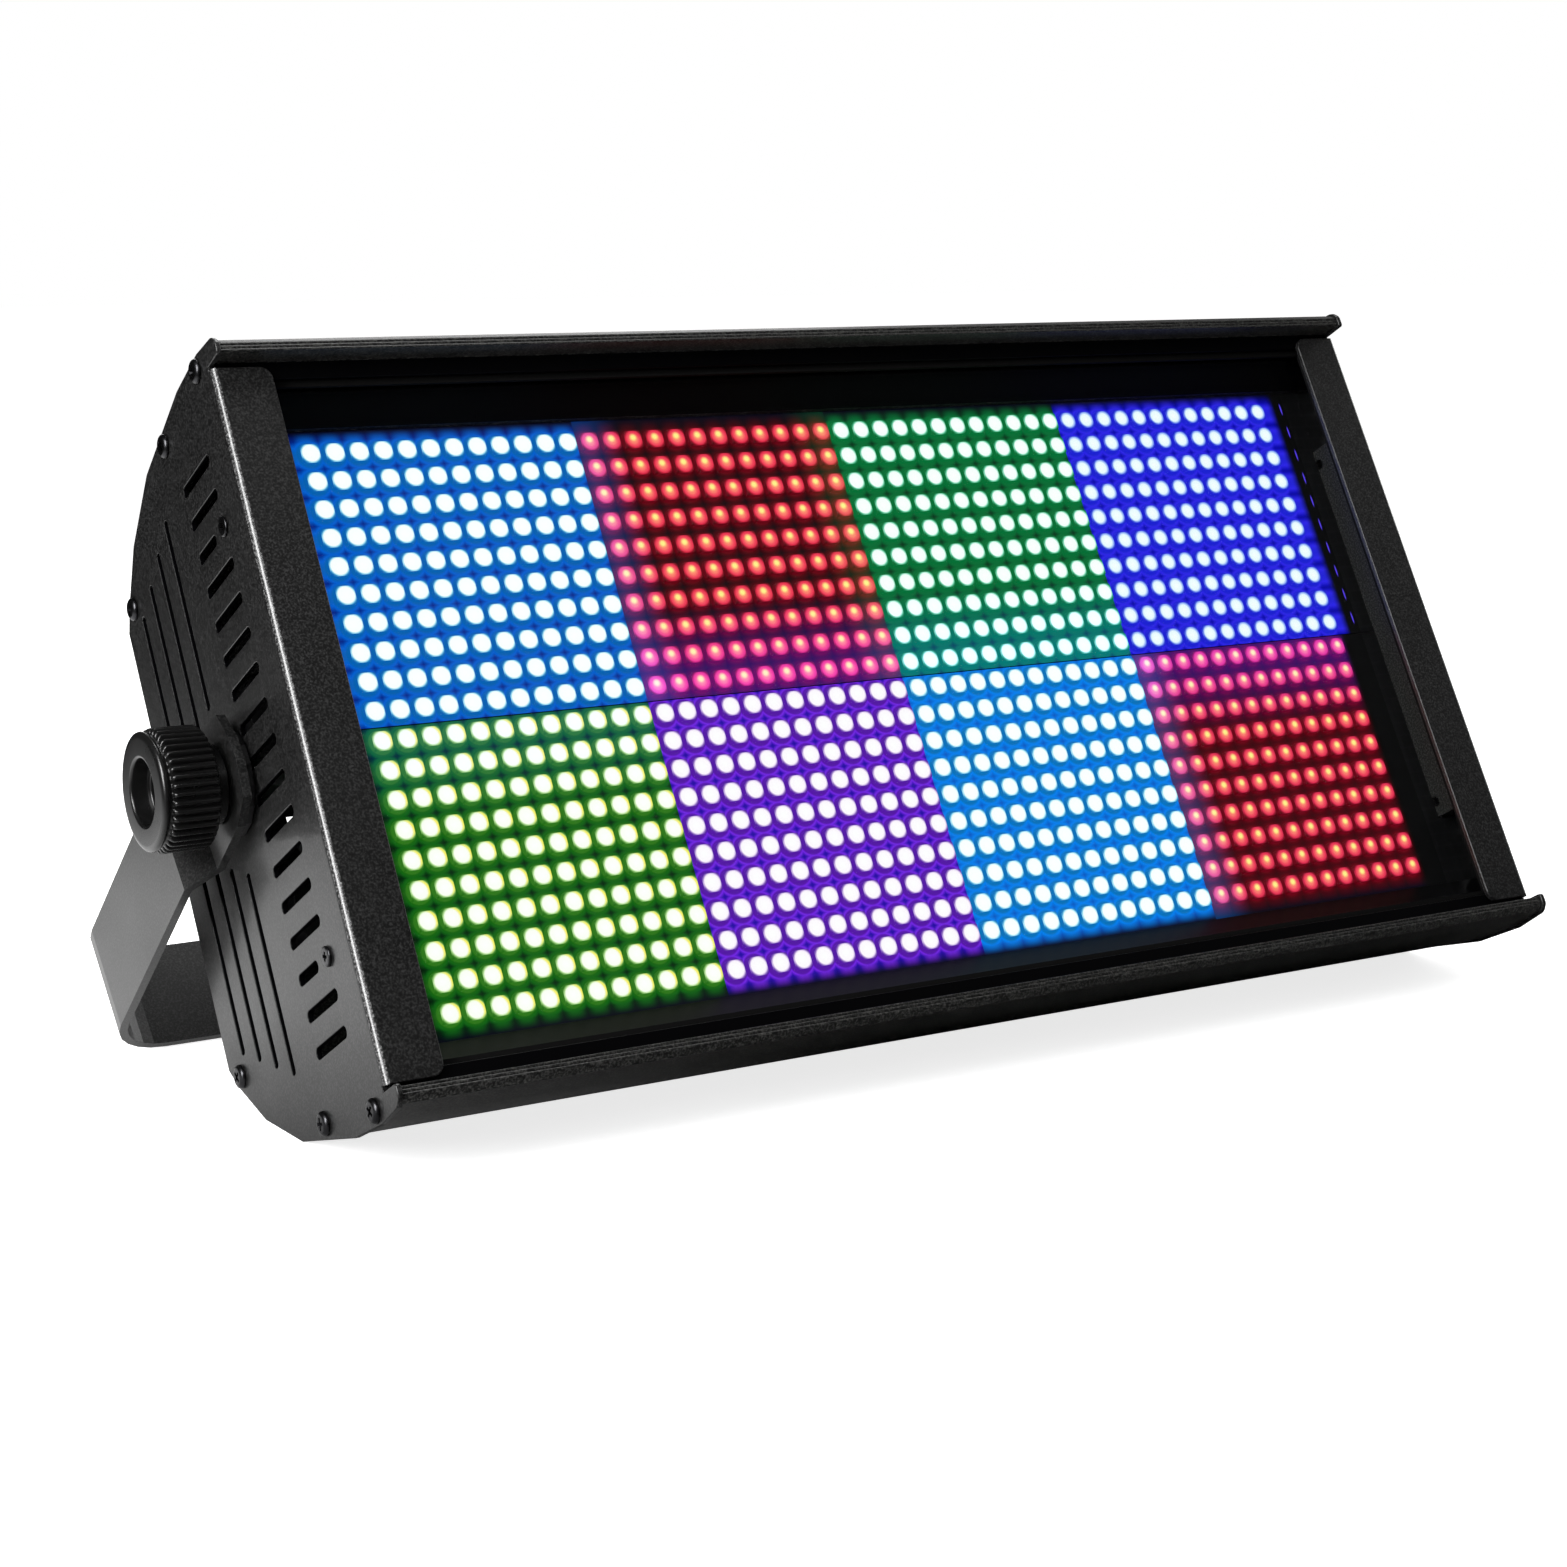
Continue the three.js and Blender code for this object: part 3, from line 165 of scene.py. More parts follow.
for half, turn in (("upper", 1), ("lower", -1)):
    shell = bmesh.new()
    corners = [shell.verts.new(at(-shell_length / 2, d, turn * h)) for d, h in shell_outline]
    end = shell.faces.new(corners)
    run = bmesh.ops.extrude_face_region(shell, geom=[end], use_keep_orig=True)
    bmesh.ops.translate(shell, vec=(shell_length * mm, 0, 0), verts=points_of(run["geom"]))
    bmesh.ops.recalc_face_normals(shell, faces=shell.faces)
    for face in shell.faces:
        middle = face.calc_center_median()
        runs_along = abs(middle.x) < mm
        # Faces of the lip and the web, which take the near-black painted shade.
        lip_and_web = at(0, web_front, 0).y < middle.y < at(0, web_back, 0).y
        if runs_along and lip_and_web and abs(middle.z) < web_top * mm:
            face.material_index = 1
    long_edges = [e for e in shell.edges if e.calc_length() > shell_length * mm / 2]
    arrises = [e for e in long_edges if e.calc_face_angle(0) > arris_angle]
    bmesh.ops.bevel(shell, geom=arrises, offset=arris_round * mm, segments=2, profile=0.5,
                    affect="EDGES", clamp_overlap=True, material=-1)
    fit(f"{half}_housing", shell, [housing_paint, painted_shade_black], [f"{half}_shell"])

# Heat sink: an extruded aluminium base with fifteen fins, seated against the shells' webs
# behind the boards. Left bare, with the fine lines that the die leaves along its length.


def soften(name, material, width, segments=2):
    """Gives a CAD node its material and rounds its edges by the width in millimetres."""
    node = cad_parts[name]
    node.data.materials.clear()
    node.data.materials.append(material)
    node.modifiers.new("joined corners", "WELD").merge_threshold = 0.001 * mm
    bevel = node.modifiers.new("rounded edges", "BEVEL")
    bevel.width = width * mm
    bevel.segments = segments
    bevel.angle_limit = math.radians(40)
    bevel.harden_normals = True


def drawn_metal(name, colour, rough, along, depth=0.3):
    """Bare metal with fine lines along one direction, from the die or the brush."""
    material, tree, shader = finish(name, colour, rough, metallic=1)
    cells_across = 3000
    cells_along = 30
    stretch = [cells_along if axis == along else cells_across for axis in "xyz"]
    place = add(tree, "TexCoord").outputs["Object"]
    drawn_out = add(tree, "Mapping", {"Vector": place, "Scale": stretch})
    lines = add(tree, "TexNoise", {"Vector": drawn_out.outputs[0], "Scale": 1, "Detail": 4})
    rub = add(tree, "MapRange", {"Value": lines.outputs[0], "To Min": rough - 0.12,
                                 "To Max": rough + 0.14})
    groove = add(tree, "Bump", {"Height": lines.outputs[0], "Strength": depth, "Distance": 0.02 * mm})
    tree.links.new(rub.outputs[0], shader.inputs["Roughness"])
    tree.links.new(groove.outputs[0], shader.inputs["Normal"])
    return material


extruded_aluminium = drawn_metal("extruded aluminium", tone(176, 178, 180), 0.36, "x")
soften("heat_sink", extruded_aluminium, 0.2)

# LED boards: two aluminium-core boards of four colour zones each, a zone with twelve
# columns and ten rows of square surface-mounted LEDs. Each zone glows in its own colour,
# brightest in the LEDs' round windows; the glow on the board between the LEDs and on the
# zones next to it is painted light.
pitch_x = 7.26
pitch_z = 8.53
columns = 12
rows = 10
zone_width = columns * pitch_x
board_front = 16.8
board_back = 18.4
board_reach = 197.9
board_top = 88.2
board_joint = 0.15
strip_room = 189.9
strip_top = 66.3
field_edge = 184
body_width = 5.4
body_face = 15.2
body_clip = 0.4
window_radius = 2.5
window_sink = 0.15
window_sides = 16
wall_start = 15.4
wall_end = 15.7
wall_glow = 3.4
glow_reach = 5.6
glow_strength = 1.06
# Painted light: shares of a zone's glow spilled on the zones beside it and across the middle.
painted_spill_beside = {"red": 0.45, "scarlet": 0.35}
painted_spill_above = {"red": 0.42, "scarlet": 0.4, "lime": 0.2, "green": 0.39}
spill_stop = -3
beside_reach = 16
above_reach = 30
ground_share = 0.42
shade_start = 84.4
edge_shade = (0, 0, 16)
# Colours by distance from an LED's centre: the window and body glow, and past the body the board takes
# the LEDs' light as painted light.
azure = [(0, (255, 255, 255)), (2.4, (250, 255, 255)), (2.7, (160, 224, 243)), (3.0, (44, 138, 198)),
         (3.4, (4, 94, 172)), (4.3, (0, 94, 206)), (5.1, (0, 58, 158)), (5.6, (0, 34, 130))]
red = [(0, (255, 140, 108)), (1.2, (253, 126, 108)), (1.8, (247, 82, 96)), (2.4, (234, 54, 82)),
       (2.7, (204, 36, 62)), (3.0, (134, 14, 34)), (3.5, (82, 2, 12)), (4.3, (58, 0, 8)),
       (5.1, (30, 0, 6)), (5.6, (16, 0, 4))]
green = [(0, (255, 255, 255)), (2.3, (246, 255, 252)), (2.6, (146, 228, 196)), (2.9, (56, 164, 116)),
         (3.3, (3, 108, 52)), (4.3, (1, 104, 50)), (5.1, (0, 66, 32)), (5.6, (0, 44, 20))]
blue = [(0, (248, 255, 254)), (1.9, (232, 250, 255)), (2.4, (160, 190, 248)), (2.8, (66, 88, 222)),
        (3.2, (20, 30, 198)), (4.2, (44, 36, 230)), (5.1, (10, 8, 184)), (5.6, (2, 0, 156))]
lime = [(0, (255, 255, 255)), (2.2, (252, 255, 244)), (2.5, (224, 246, 200)), (2.8, (150, 200, 118)),
        (3.2, (58, 126, 34)), (3.7, (22, 98, 14)), (4.3, (14, 96, 18)), (5.1, (0, 52, 10)),
        (5.6, (0, 30, 6))]
violet = [(0, (255, 255, 255)), (2.3, (254, 248, 254)), (2.6, (222, 202, 238)), (2.9, (140, 104, 190)),
          (3.3, (82, 26, 158)), (3.8, (84, 18, 168)), (4.3, (114, 38, 226)), (5.1, (46, 8, 172)),
          (5.6, (30, 0, 150))]
sky = [(0, (255, 255, 255)), (2.35, (250, 255, 255)), (2.65, (176, 236, 250)), (3.0, (62, 158, 212)),
       (3.4, (6, 110, 180)), (4.2, (0, 127, 238)), (5.1, (0, 102, 208)), (5.6, (0, 84, 190))]
scarlet = [(0, (255, 134, 104)), (1.2, (250, 118, 110)), (1.8, (243, 78, 96)), (2.4, (228, 52, 84)),
           (2.7, (200, 36, 70)), (3.0, (138, 14, 40)), (3.5, (90, 1, 14)), (4.3, (70, 0, 12)),
           (5.1, (60, 0, 8)), (5.6, (44, 0, 5))]
board_colours = {
    "upper": [("azure", azure), ("red", red), ("green", green), ("blue", blue)],
    "lower": [("lime", lime), ("violet", violet), ("sky", sky), ("scarlet", scarlet)],
}
# Where the painted glow of the outermost zones fades to black.
field_fade = {"azure": 174.5, "blue": 176.5, "lime": 173.5, "scarlet": 173}
fade_length = 3.5
die_places = {"red": (0, 0.6), "scarlet": (0.3, 0.6)}
die_inner = 0.35
die_outer = 1.5
die_colour = (255, 240, 138)
crescents = {"lime": (-1, -0.3)}
crescent_inner = 2.9
crescent_outer = 3.6
crescent_colour = (250, 238, 80)
lens_inner = 2.6
lens_outer = 3
glint_colours = {"blue": (84, 62, 232)}
glint_x = 182.5
glint_z = 1.3
glint_half_width = 0.35
glint_half_height = 2.4
glint_core = 0.6
board_mask, tree, shader = finish("black solder mask", tone(9, 9, 10), 0.5, shine=0.3)
tracks = add(tree, "TexBrick", {"Vector": add(tree, "TexCoord").outputs["Object"], "Scale": 120,
                                "Color1": tone(9, 9, 10), "Color2": tone(12, 12, 14),
                                "Mortar": tone(17, 17, 19)})
tree.links.new(tracks.outputs[0], shader.inputs["Base Color"])


def upright_place(tree):
    """The surface point in the head's own frame, as if the lamp stood upright."""
    place = add(tree, "TexCoord").outputs["Object"]
    return add(tree, "Mapping", {"Vector": place, "Location": pivot, "Rotation": (-lean, 0, 0)},
               vector_type="TEXTURE").outputs[0]


def laid_over(tree, glow, cover, colour, blend="MIX"):
    """The glow with a colour laid over it, as strongly as the cover says."""
    return add(tree, "MixRGB", {"Fac": cover.outputs[0], "Color1": glow, "Color2": tone(*colour)},
               blend_type=blend).outputs[0]


def led_glow(name, stops, veils, die=None, glint=None, crescent=None):
    """The lit surface of one zone: the colour goes by the distance to the nearest LED, and
    the LEDs' side walls stay dim; past the LEDs' bodies it is the LEDs' light painted on the
    board. Each veil lays a colour over it, stronger from one place to another along x or z:
    some are painted light spilled from the next zones, one is painted shade towards the
    board's top, and the outermost zones' glow fades to black past their last columns. The
    die is the lit spot in the window, the crescent a bright rim on one side of it, and the
    glint is a painted reflection of each row in the end plate's edge."""
    material, tree, shader = finish(name, tone(12, 12, 13), 0.5, shine=0.2)
    upright = upright_place(tree)
    all_depths = 1000
    hair = 0.01
    cell_size = Vector((pitch_x, all_depths, pitch_z)) * mm
    limit = Vector((2 * zone_width - hair, all_depths, rows * pitch_z - hair)) * mm
    inner = add(tree, "VectorMath", {0: upright, 1: limit}, operation="MINIMUM")
    inner = add(tree, "VectorMath", {0: inner.outputs[0], 1: -limit}, operation="MAXIMUM")
    cell = add(tree, "VectorMath", {0: inner.outputs[0], 1: cell_size, 2: (0, 0, 0)}, operation="WRAP")
    to_middle = Vector((-pitch_x, 0, -pitch_z)) * mm / 2
    flat = add(tree, "VectorMath", {0: cell.outputs[0], 1: (1, 0, 1), 2: to_middle},
               operation="MULTIPLY_ADD")
    distance = add(tree, "VectorMath", {0: flat.outputs[0]}, operation="LENGTH")
    across = add(tree, "SeparateXYZ", {0: upright})
    wall = add(tree, "MapRange", {"Value": across.outputs["Y"], "From Min": at(0, wall_start, 0).y,
                                  "From Max": at(0, wall_end, 0).y, "To Max": wall_glow * mm})
    longest = add(tree, "Math", {0: distance.outputs["Value"], 1: wall.outputs[0]}, operation="MAXIMUM")
    share = add(tree, "MapRange", {"Value": longest.outputs[0], "From Max": glow_reach * mm})
    ramp = add(tree, "ValToRGB", {"Fac": share.outputs[0]})
    for i, (radius, colour) in enumerate(stops):
        band = ramp.color_ramp.elements
        stop = band[i] if i < 2 else band.new(radius / glow_reach)
        stop.position = radius / glow_reach
        stop.color = tone(*colour)
    glow = ramp.outputs[0]
    if die:
        centre = Vector((die[0], 0, die[1])) * mm
        off = add(tree, "VectorMath", {0: flat.outputs[0], 1: centre}, operation="DISTANCE")
        spot = add(tree, "MapRange", {"Value": off.outputs["Value"], "From Min": die_inner * mm,
                                      "From Max": die_outer * mm, "To Min": 1, "To Max": 0},
                   interpolation_type="SMOOTHSTEP")
        glow = laid_over(tree, glow, spot, die_colour)
    if crescent:
        centre = Vector((crescent[0], 0, crescent[1])) * mm
        off = add(tree, "VectorMath", {0: flat.outputs[0], 1: centre}, operation="DISTANCE")
        rim = add(tree, "MapRange", {"Value": off.outputs["Value"], "From Min": crescent_inner * mm,
                                     "From Max": crescent_outer * mm})
        lens = add(tree, "MapRange", {"Value": longest.outputs[0], "From Min": lens_inner * mm,
                                      "From Max": lens_outer * mm, "To Min": 1, "To Max": 0})
        rim = add(tree, "Math", {0: rim.outputs[0], 1: lens.outputs[0]}, operation="MULTIPLY")
        glow = laid_over(tree, glow, rim, crescent_colour)
    # Spilled painted light is laid on fully in the LED windows and more weakly on the body's edge and
    # the board.
    spill_share = add(tree, "MapRange", {"Value": longest.outputs[0], "From Min": window_radius * mm,
                                          "From Max": lens_outer * mm, "To Min": 1,
                                          "To Max": ground_share})
    for axis, start, end, most, blend, colour in veils:
        cover = add(tree, "MapRange", {"Value": across.outputs[axis], "From Min": start * mm,
                                       "From Max": end * mm, "To Max": most},
                    interpolation_type="SMOOTHSTEP")
        if blend == "ADD":
            cover = add(tree, "Math", {0: cover.outputs[0], 1: spill_share.outputs[0]},
                        operation="MULTIPLY")
        glow = laid_over(tree, glow, cover, colour, blend)
    # The glint: a painted reflection of each row in the end plate's edge.
    if glint:
        height = add(tree, "SeparateXYZ", {0: flat.outputs[0]}).outputs["Z"]
        beside = add(tree, "CombineXYZ", {0: across.outputs["X"], 2: height})
        squeeze = Vector((1 / glint_half_width, 0, 1 / glint_half_height)) / mm
        centre = Vector((-glint_x / glint_half_width, 0, -glint_z / glint_half_height))
        off = add(tree, "VectorMath", {0: beside.outputs[0], 1: squeeze, 2: centre},
                  operation="MULTIPLY_ADD")
        off = add(tree, "VectorMath", {0: off.outputs[0]}, operation="LENGTH")
        spot = add(tree, "MapRange", {"Value": off.outputs["Value"], "From Min": glint_core,
                                      "To Min": 1, "To Max": 0})
        glow = laid_over(tree, glow, spot, glint)
    tree.links.new(glow, shader.inputs["Emission Color"])
    shader.inputs["Emission Strength"].default_value = glow_strength
    return material


def edges_between(geometry, points):
    """The edges among a mesh operator's elements that run between the given points."""
    edges = [e for e in geometry if isinstance(e, bmesh.types.BMEdge)]
    return [e for e in edges if all(v in points for v in e.verts)]


def led(place):
    """One LED: a square body with clipped corners and a round window sunk in its face."""
    mesh = bmesh.new()
    size = Vector((body_width, board_front - body_face, body_width)) * mm
    bmesh.ops.create_cube(mesh, size=1, matrix=Matrix.Diagonal(size).to_4x4())
    corners = [e for e in mesh.edges if abs(e.verts[0].co.y - e.verts[1].co.y) > mm]
    bmesh.ops.bevel(mesh, geom=corners, offset=body_clip * mm, segments=1, profile=0.5,
                    affect="EDGES", material=-1)
    front = min(mesh.faces, key=lambda f: f.calc_center_median().y)
    rim = front.edges[:]
    face_y = front.calc_center_median().y
    bmesh.ops.delete(mesh, geom=[front], context="FACES_ONLY")
    before = set(mesh.edges)
    lie = Matrix.Translation((0, face_y, 0)) @ Matrix.Rotation(math.pi / 2, 4, "X")
    bmesh.ops.create_circle(mesh, segments=window_sides, radius=window_radius * mm, matrix=lie)
    window = [e for e in mesh.edges if e not in before]
    bmesh.ops.triangle_fill(mesh, use_beauty=True, use_dissolve=False, edges=rim + window)
    wall = bmesh.ops.extrude_edge_only(mesh, edges=window)["geom"]
    foot = points_of(wall)
    bmesh.ops.translate(mesh, vec=(0, window_sink * mm, 0), verts=foot)
    bmesh.ops.edgeloop_fill(mesh, edges=edges_between(wall, foot))
    bmesh.ops.recalc_face_normals(mesh, faces=mesh.faces)
    bmesh.ops.translate(mesh, vec=place, verts=mesh.verts)
    return mesh


def spill(zone):
    """The colour of the painted light that a zone throws on its neighbours: the one just outside its
    LEDs' windows.
    """
    colour_name, stops = zone
    return stops[spill_stop][1]


for half, turn in (("upper", 1), ("lower", -1)):
    zones = board_colours[half]
    opposite = board_colours["lower" if half == "upper" else "upper"]
    for order, (colour_name, stops) in enumerate(zones):
        left = (order - 2) * zone_width
        right = left + zone_width
        side = -1 if order < 2 else 1
        outermost = order in (0, 3)
        # Veils: painted light from the zone across the middle and from the zones beside, painted shade
        # at the board's top, and the glow's fade to black past the last columns.
        veils = []
        if colour_name in painted_spill_above:
            veils.append(("Z", turn * above_reach, 0, painted_spill_above[colour_name], "ADD",
                          spill(opposite[order])))
        veils.append(("Z", turn * shade_start, turn * board_top, 1, "MIX", edge_shade))
        beside = painted_spill_beside.get(colour_name)
        if beside and order > 0:
            veils.append(("X", left + beside_reach, left, beside, "ADD", spill(zones[order - 1])))
        if beside and order < 3:
            veils.append(("X", right - beside_reach, right, beside, "ADD", spill(zones[order + 1])))
        if outermost:
            fade = field_fade[colour_name]
            veils.append(("X", side * fade, side * (fade + fade_length), 1, "MIX", (0, 0, 0)))
            corners = [(side * zone_width, board_joint), (side * strip_room, board_joint),
                       (side * strip_room, strip_top), (side * board_reach, strip_top),
                       (side * board_reach, board_top), (side * zone_width, board_top)]
        else:
            corners = [(left, board_joint), (right, board_joint), (right, board_top), (left, board_top)]
        board = bmesh.new()
        face = board.faces.new([board.verts.new(at(x, board_front, turn * z)) for x, z in corners])
        run = bmesh.ops.extrude_face_region(board, geom=[face], use_keep_orig=True)
        bmesh.ops.translate(board, vec=(0, (board_back - board_front) * mm, 0),
                            verts=points_of(run["geom"]))
        bmesh.ops.bisect_plane(board, geom=board.verts[:] + board.edges[:] + board.faces[:],
                               plane_co=at(side * field_edge, 0, 0), plane_no=(1, 0, 0))
        bmesh.ops.recalc_face_normals(board, faces=board.faces)
        for face in board.faces:
            faces_front = face.normal.y < -0.9
            in_field = abs(face.calc_center_median().x) < field_edge * mm
            face.material_index = 0 if faces_front and in_field else 1
        mesh = led(at(left + pitch_x / 2, (body_face + board_front) / 2, turn * pitch_z / 2))
        along = Vector((pitch_x, 0, 0))
        upward = Vector((0, 0, turn * pitch_z))
        for count, step in ((columns, along), (rows, upward)):
            one = mesh.verts[:] + mesh.edges[:] + mesh.faces[:]
            for i in range(1, count):
                copy = bmesh.ops.duplicate(mesh, geom=one)
                bmesh.ops.translate(mesh, vec=step * mm * i, verts=points_of(copy["geom"]))
        leds = bpy.data.meshes.new("leds")
        mesh.to_mesh(leds)
        mesh.free()
        board.from_mesh(leds)
        bpy.data.meshes.remove(leds)
        glow = led_glow(f"{colour_name} LED glow", stops, veils, die_places.get(colour_name),
                        glint_colours.get(colour_name), crescents.get(colour_name))
        fit(f"{half}_{colour_name}_leds", board, [glow, board_mask], [f"{half}_led_board"])

# Front glass: a clear toughened pane in a black rubber gasket, behind the shells' lips. Two
# black strips press its ends forward, each taken by two screws of its end plate. The pane
# mirrors little seen straight on, and more the flatter it is looked at.
mirror_ahead = 0.017
mirror_growth = 5
rubber, tree, shader = finish("black rubber", tone(5, 5, 5), 0.78, shine=0.1)
place = add(tree, "TexCoord").outputs["Object"]
bloom = add(tree, "TexNoise", {"Vector": place, "Scale": 700, "Detail": 4})
matt = add(tree, "MapRange", {"Value": bloom.outputs[0], "To Min": 0.68, "To Max": 0.88})
skin = add(tree, "Bump", {"Height": bloom.outputs[0], "Strength": 0.3, "Distance": 0.05 * mm})
tree.links.new(matt.outputs[0], shader.inputs["Roughness"])
tree.links.new(skin.outputs[0], shader.inputs["Normal"])
soften("glass_gasket", rubber, 0.2)
soften("left_glass_strip", housing_paint, 0.2)
soften("right_glass_strip", housing_paint, 0.2)

pane = bpy.data.materials.new("clear glass")
pane.use_nodes = True
tree = pane.node_tree
tree.nodes.remove(tree.nodes["Principled BSDF"])
place = add(tree, "TexCoord").outputs["Object"]
smear = add(tree, "TexNoise", {"Vector": place, "Scale": 14, "Detail": 3})
wipe = add(tree, "MapRange", {"Value": smear.outputs[0], "To Min": 0.02, "To Max": 0.07})
clear = add(tree, "BsdfTransparent", {"Color": (0.98, 0.99, 0.985, 1)})
mirror = add(tree, "BsdfGlossy", {"Color": (0.55, 0.57, 0.6, 1), "Roughness": wipe.outputs[0]})
grazing = add(tree, "LayerWeight", {"Blend": 0.5})
steep = add(tree, "Math", {0: grazing.outputs["Facing"], 1: mirror_growth}, operation="POWER")
share = add(tree, "MapRange", {"Value": steep.outputs[0], "To Min": mirror_ahead, "To Max": 1})
both = add(tree, "MixShader", {0: share.outputs[0], 1: clear.outputs[0], 2: mirror.outputs[0]})
tree.links.new(both.outputs[0], tree.nodes["Material Output"].inputs["Surface"])
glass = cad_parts["front_glass"]
glass.data.materials.clear()
glass.data.materials.append(pane)

# End plates: laser-cut steel sheet, folded once into the flange that frames the glass,
# and powder coated black. Seventeen short and eight long vent slots let the air through,
# and eight screws hold each plate to the shells and the glass strips.
plate_out = 200
sheet = 1.5
flange_width = 17
flange_top = 100.2
flange_bend = 2
flange_corner = 3.5
notch = 2.5
plate_outline = [
    (notch, flange_top), (notch, 101.5), (-6, 101.5), (-6, 105.1), (-3.8, 107.3), (8, 108.5),
    (27, 107), (62, 98.6), (84, 86.5), (98, 73.5), (103, 67),
]
nose_corners = slice(2, 5)
nose_round = 0.9
edge_angle = math.radians(60)
edge_round = 0.35
# Reach of the bend's painted highlight from the fold's outer corner.
highlight_reach = 1.3
cut_start = 4
short_slots = 17
short_slot_pitch = 10.15
short_slot_front = 16
short_slot_back = 38.5
short_slot_radius = 1.6
cut_short_row = 6
cut_slot_front = 24
long_slot_radius = 1.3
long_slots = [(56.5, 24, 81.5), (67.35, 18.9, 76.4), (78.2, 13.8, 71.3), (89.05, 8.7, 66.2)]
screw_places = {"front": (10, 104.3), "crown": (43.5, 98.5), "rear": (94.05, 71.05),
                "glass": (16.2, 61)}
screw_hole_radius = 1.8
pivot_hole_radius = 4.3


def hole(mesh, depth, height, radius, pull=Vector(), segments=12):
    """The edge of a hole in the left plate, pulled apart into a slot with round ends."""
    centre = at(-plate_out, depth, height)
    turn = Matrix.Rotation(math.pi / 2, 4, "Y") @ Matrix.Rotation(math.pi / segments, 4, "Z")
    ring = bmesh.ops.create_circle(mesh, segments=segments, radius=radius * mm,
                                   matrix=Matrix.Translation(centre) @ turn)["verts"]
    for side in (1, -1):
        half = [v for v in ring if (v.co - centre).dot(pull) * side > 0]
        bmesh.ops.translate(mesh, vec=pull * mm * side, verts=half)


def flange_edges(geometry):
    """The edges among the elements that run along the whole flange."""
    edges = [e for e in geometry if isinstance(e, bmesh.types.BMEdge)]
    return [e for e in edges if e.calc_length() > 1.9 * flange_top * mm]


plate_paint = powder_coat("sheet powder coat", tone(9, 9, 9), tone(44, 44, 44), 0.6, rough=0.42)
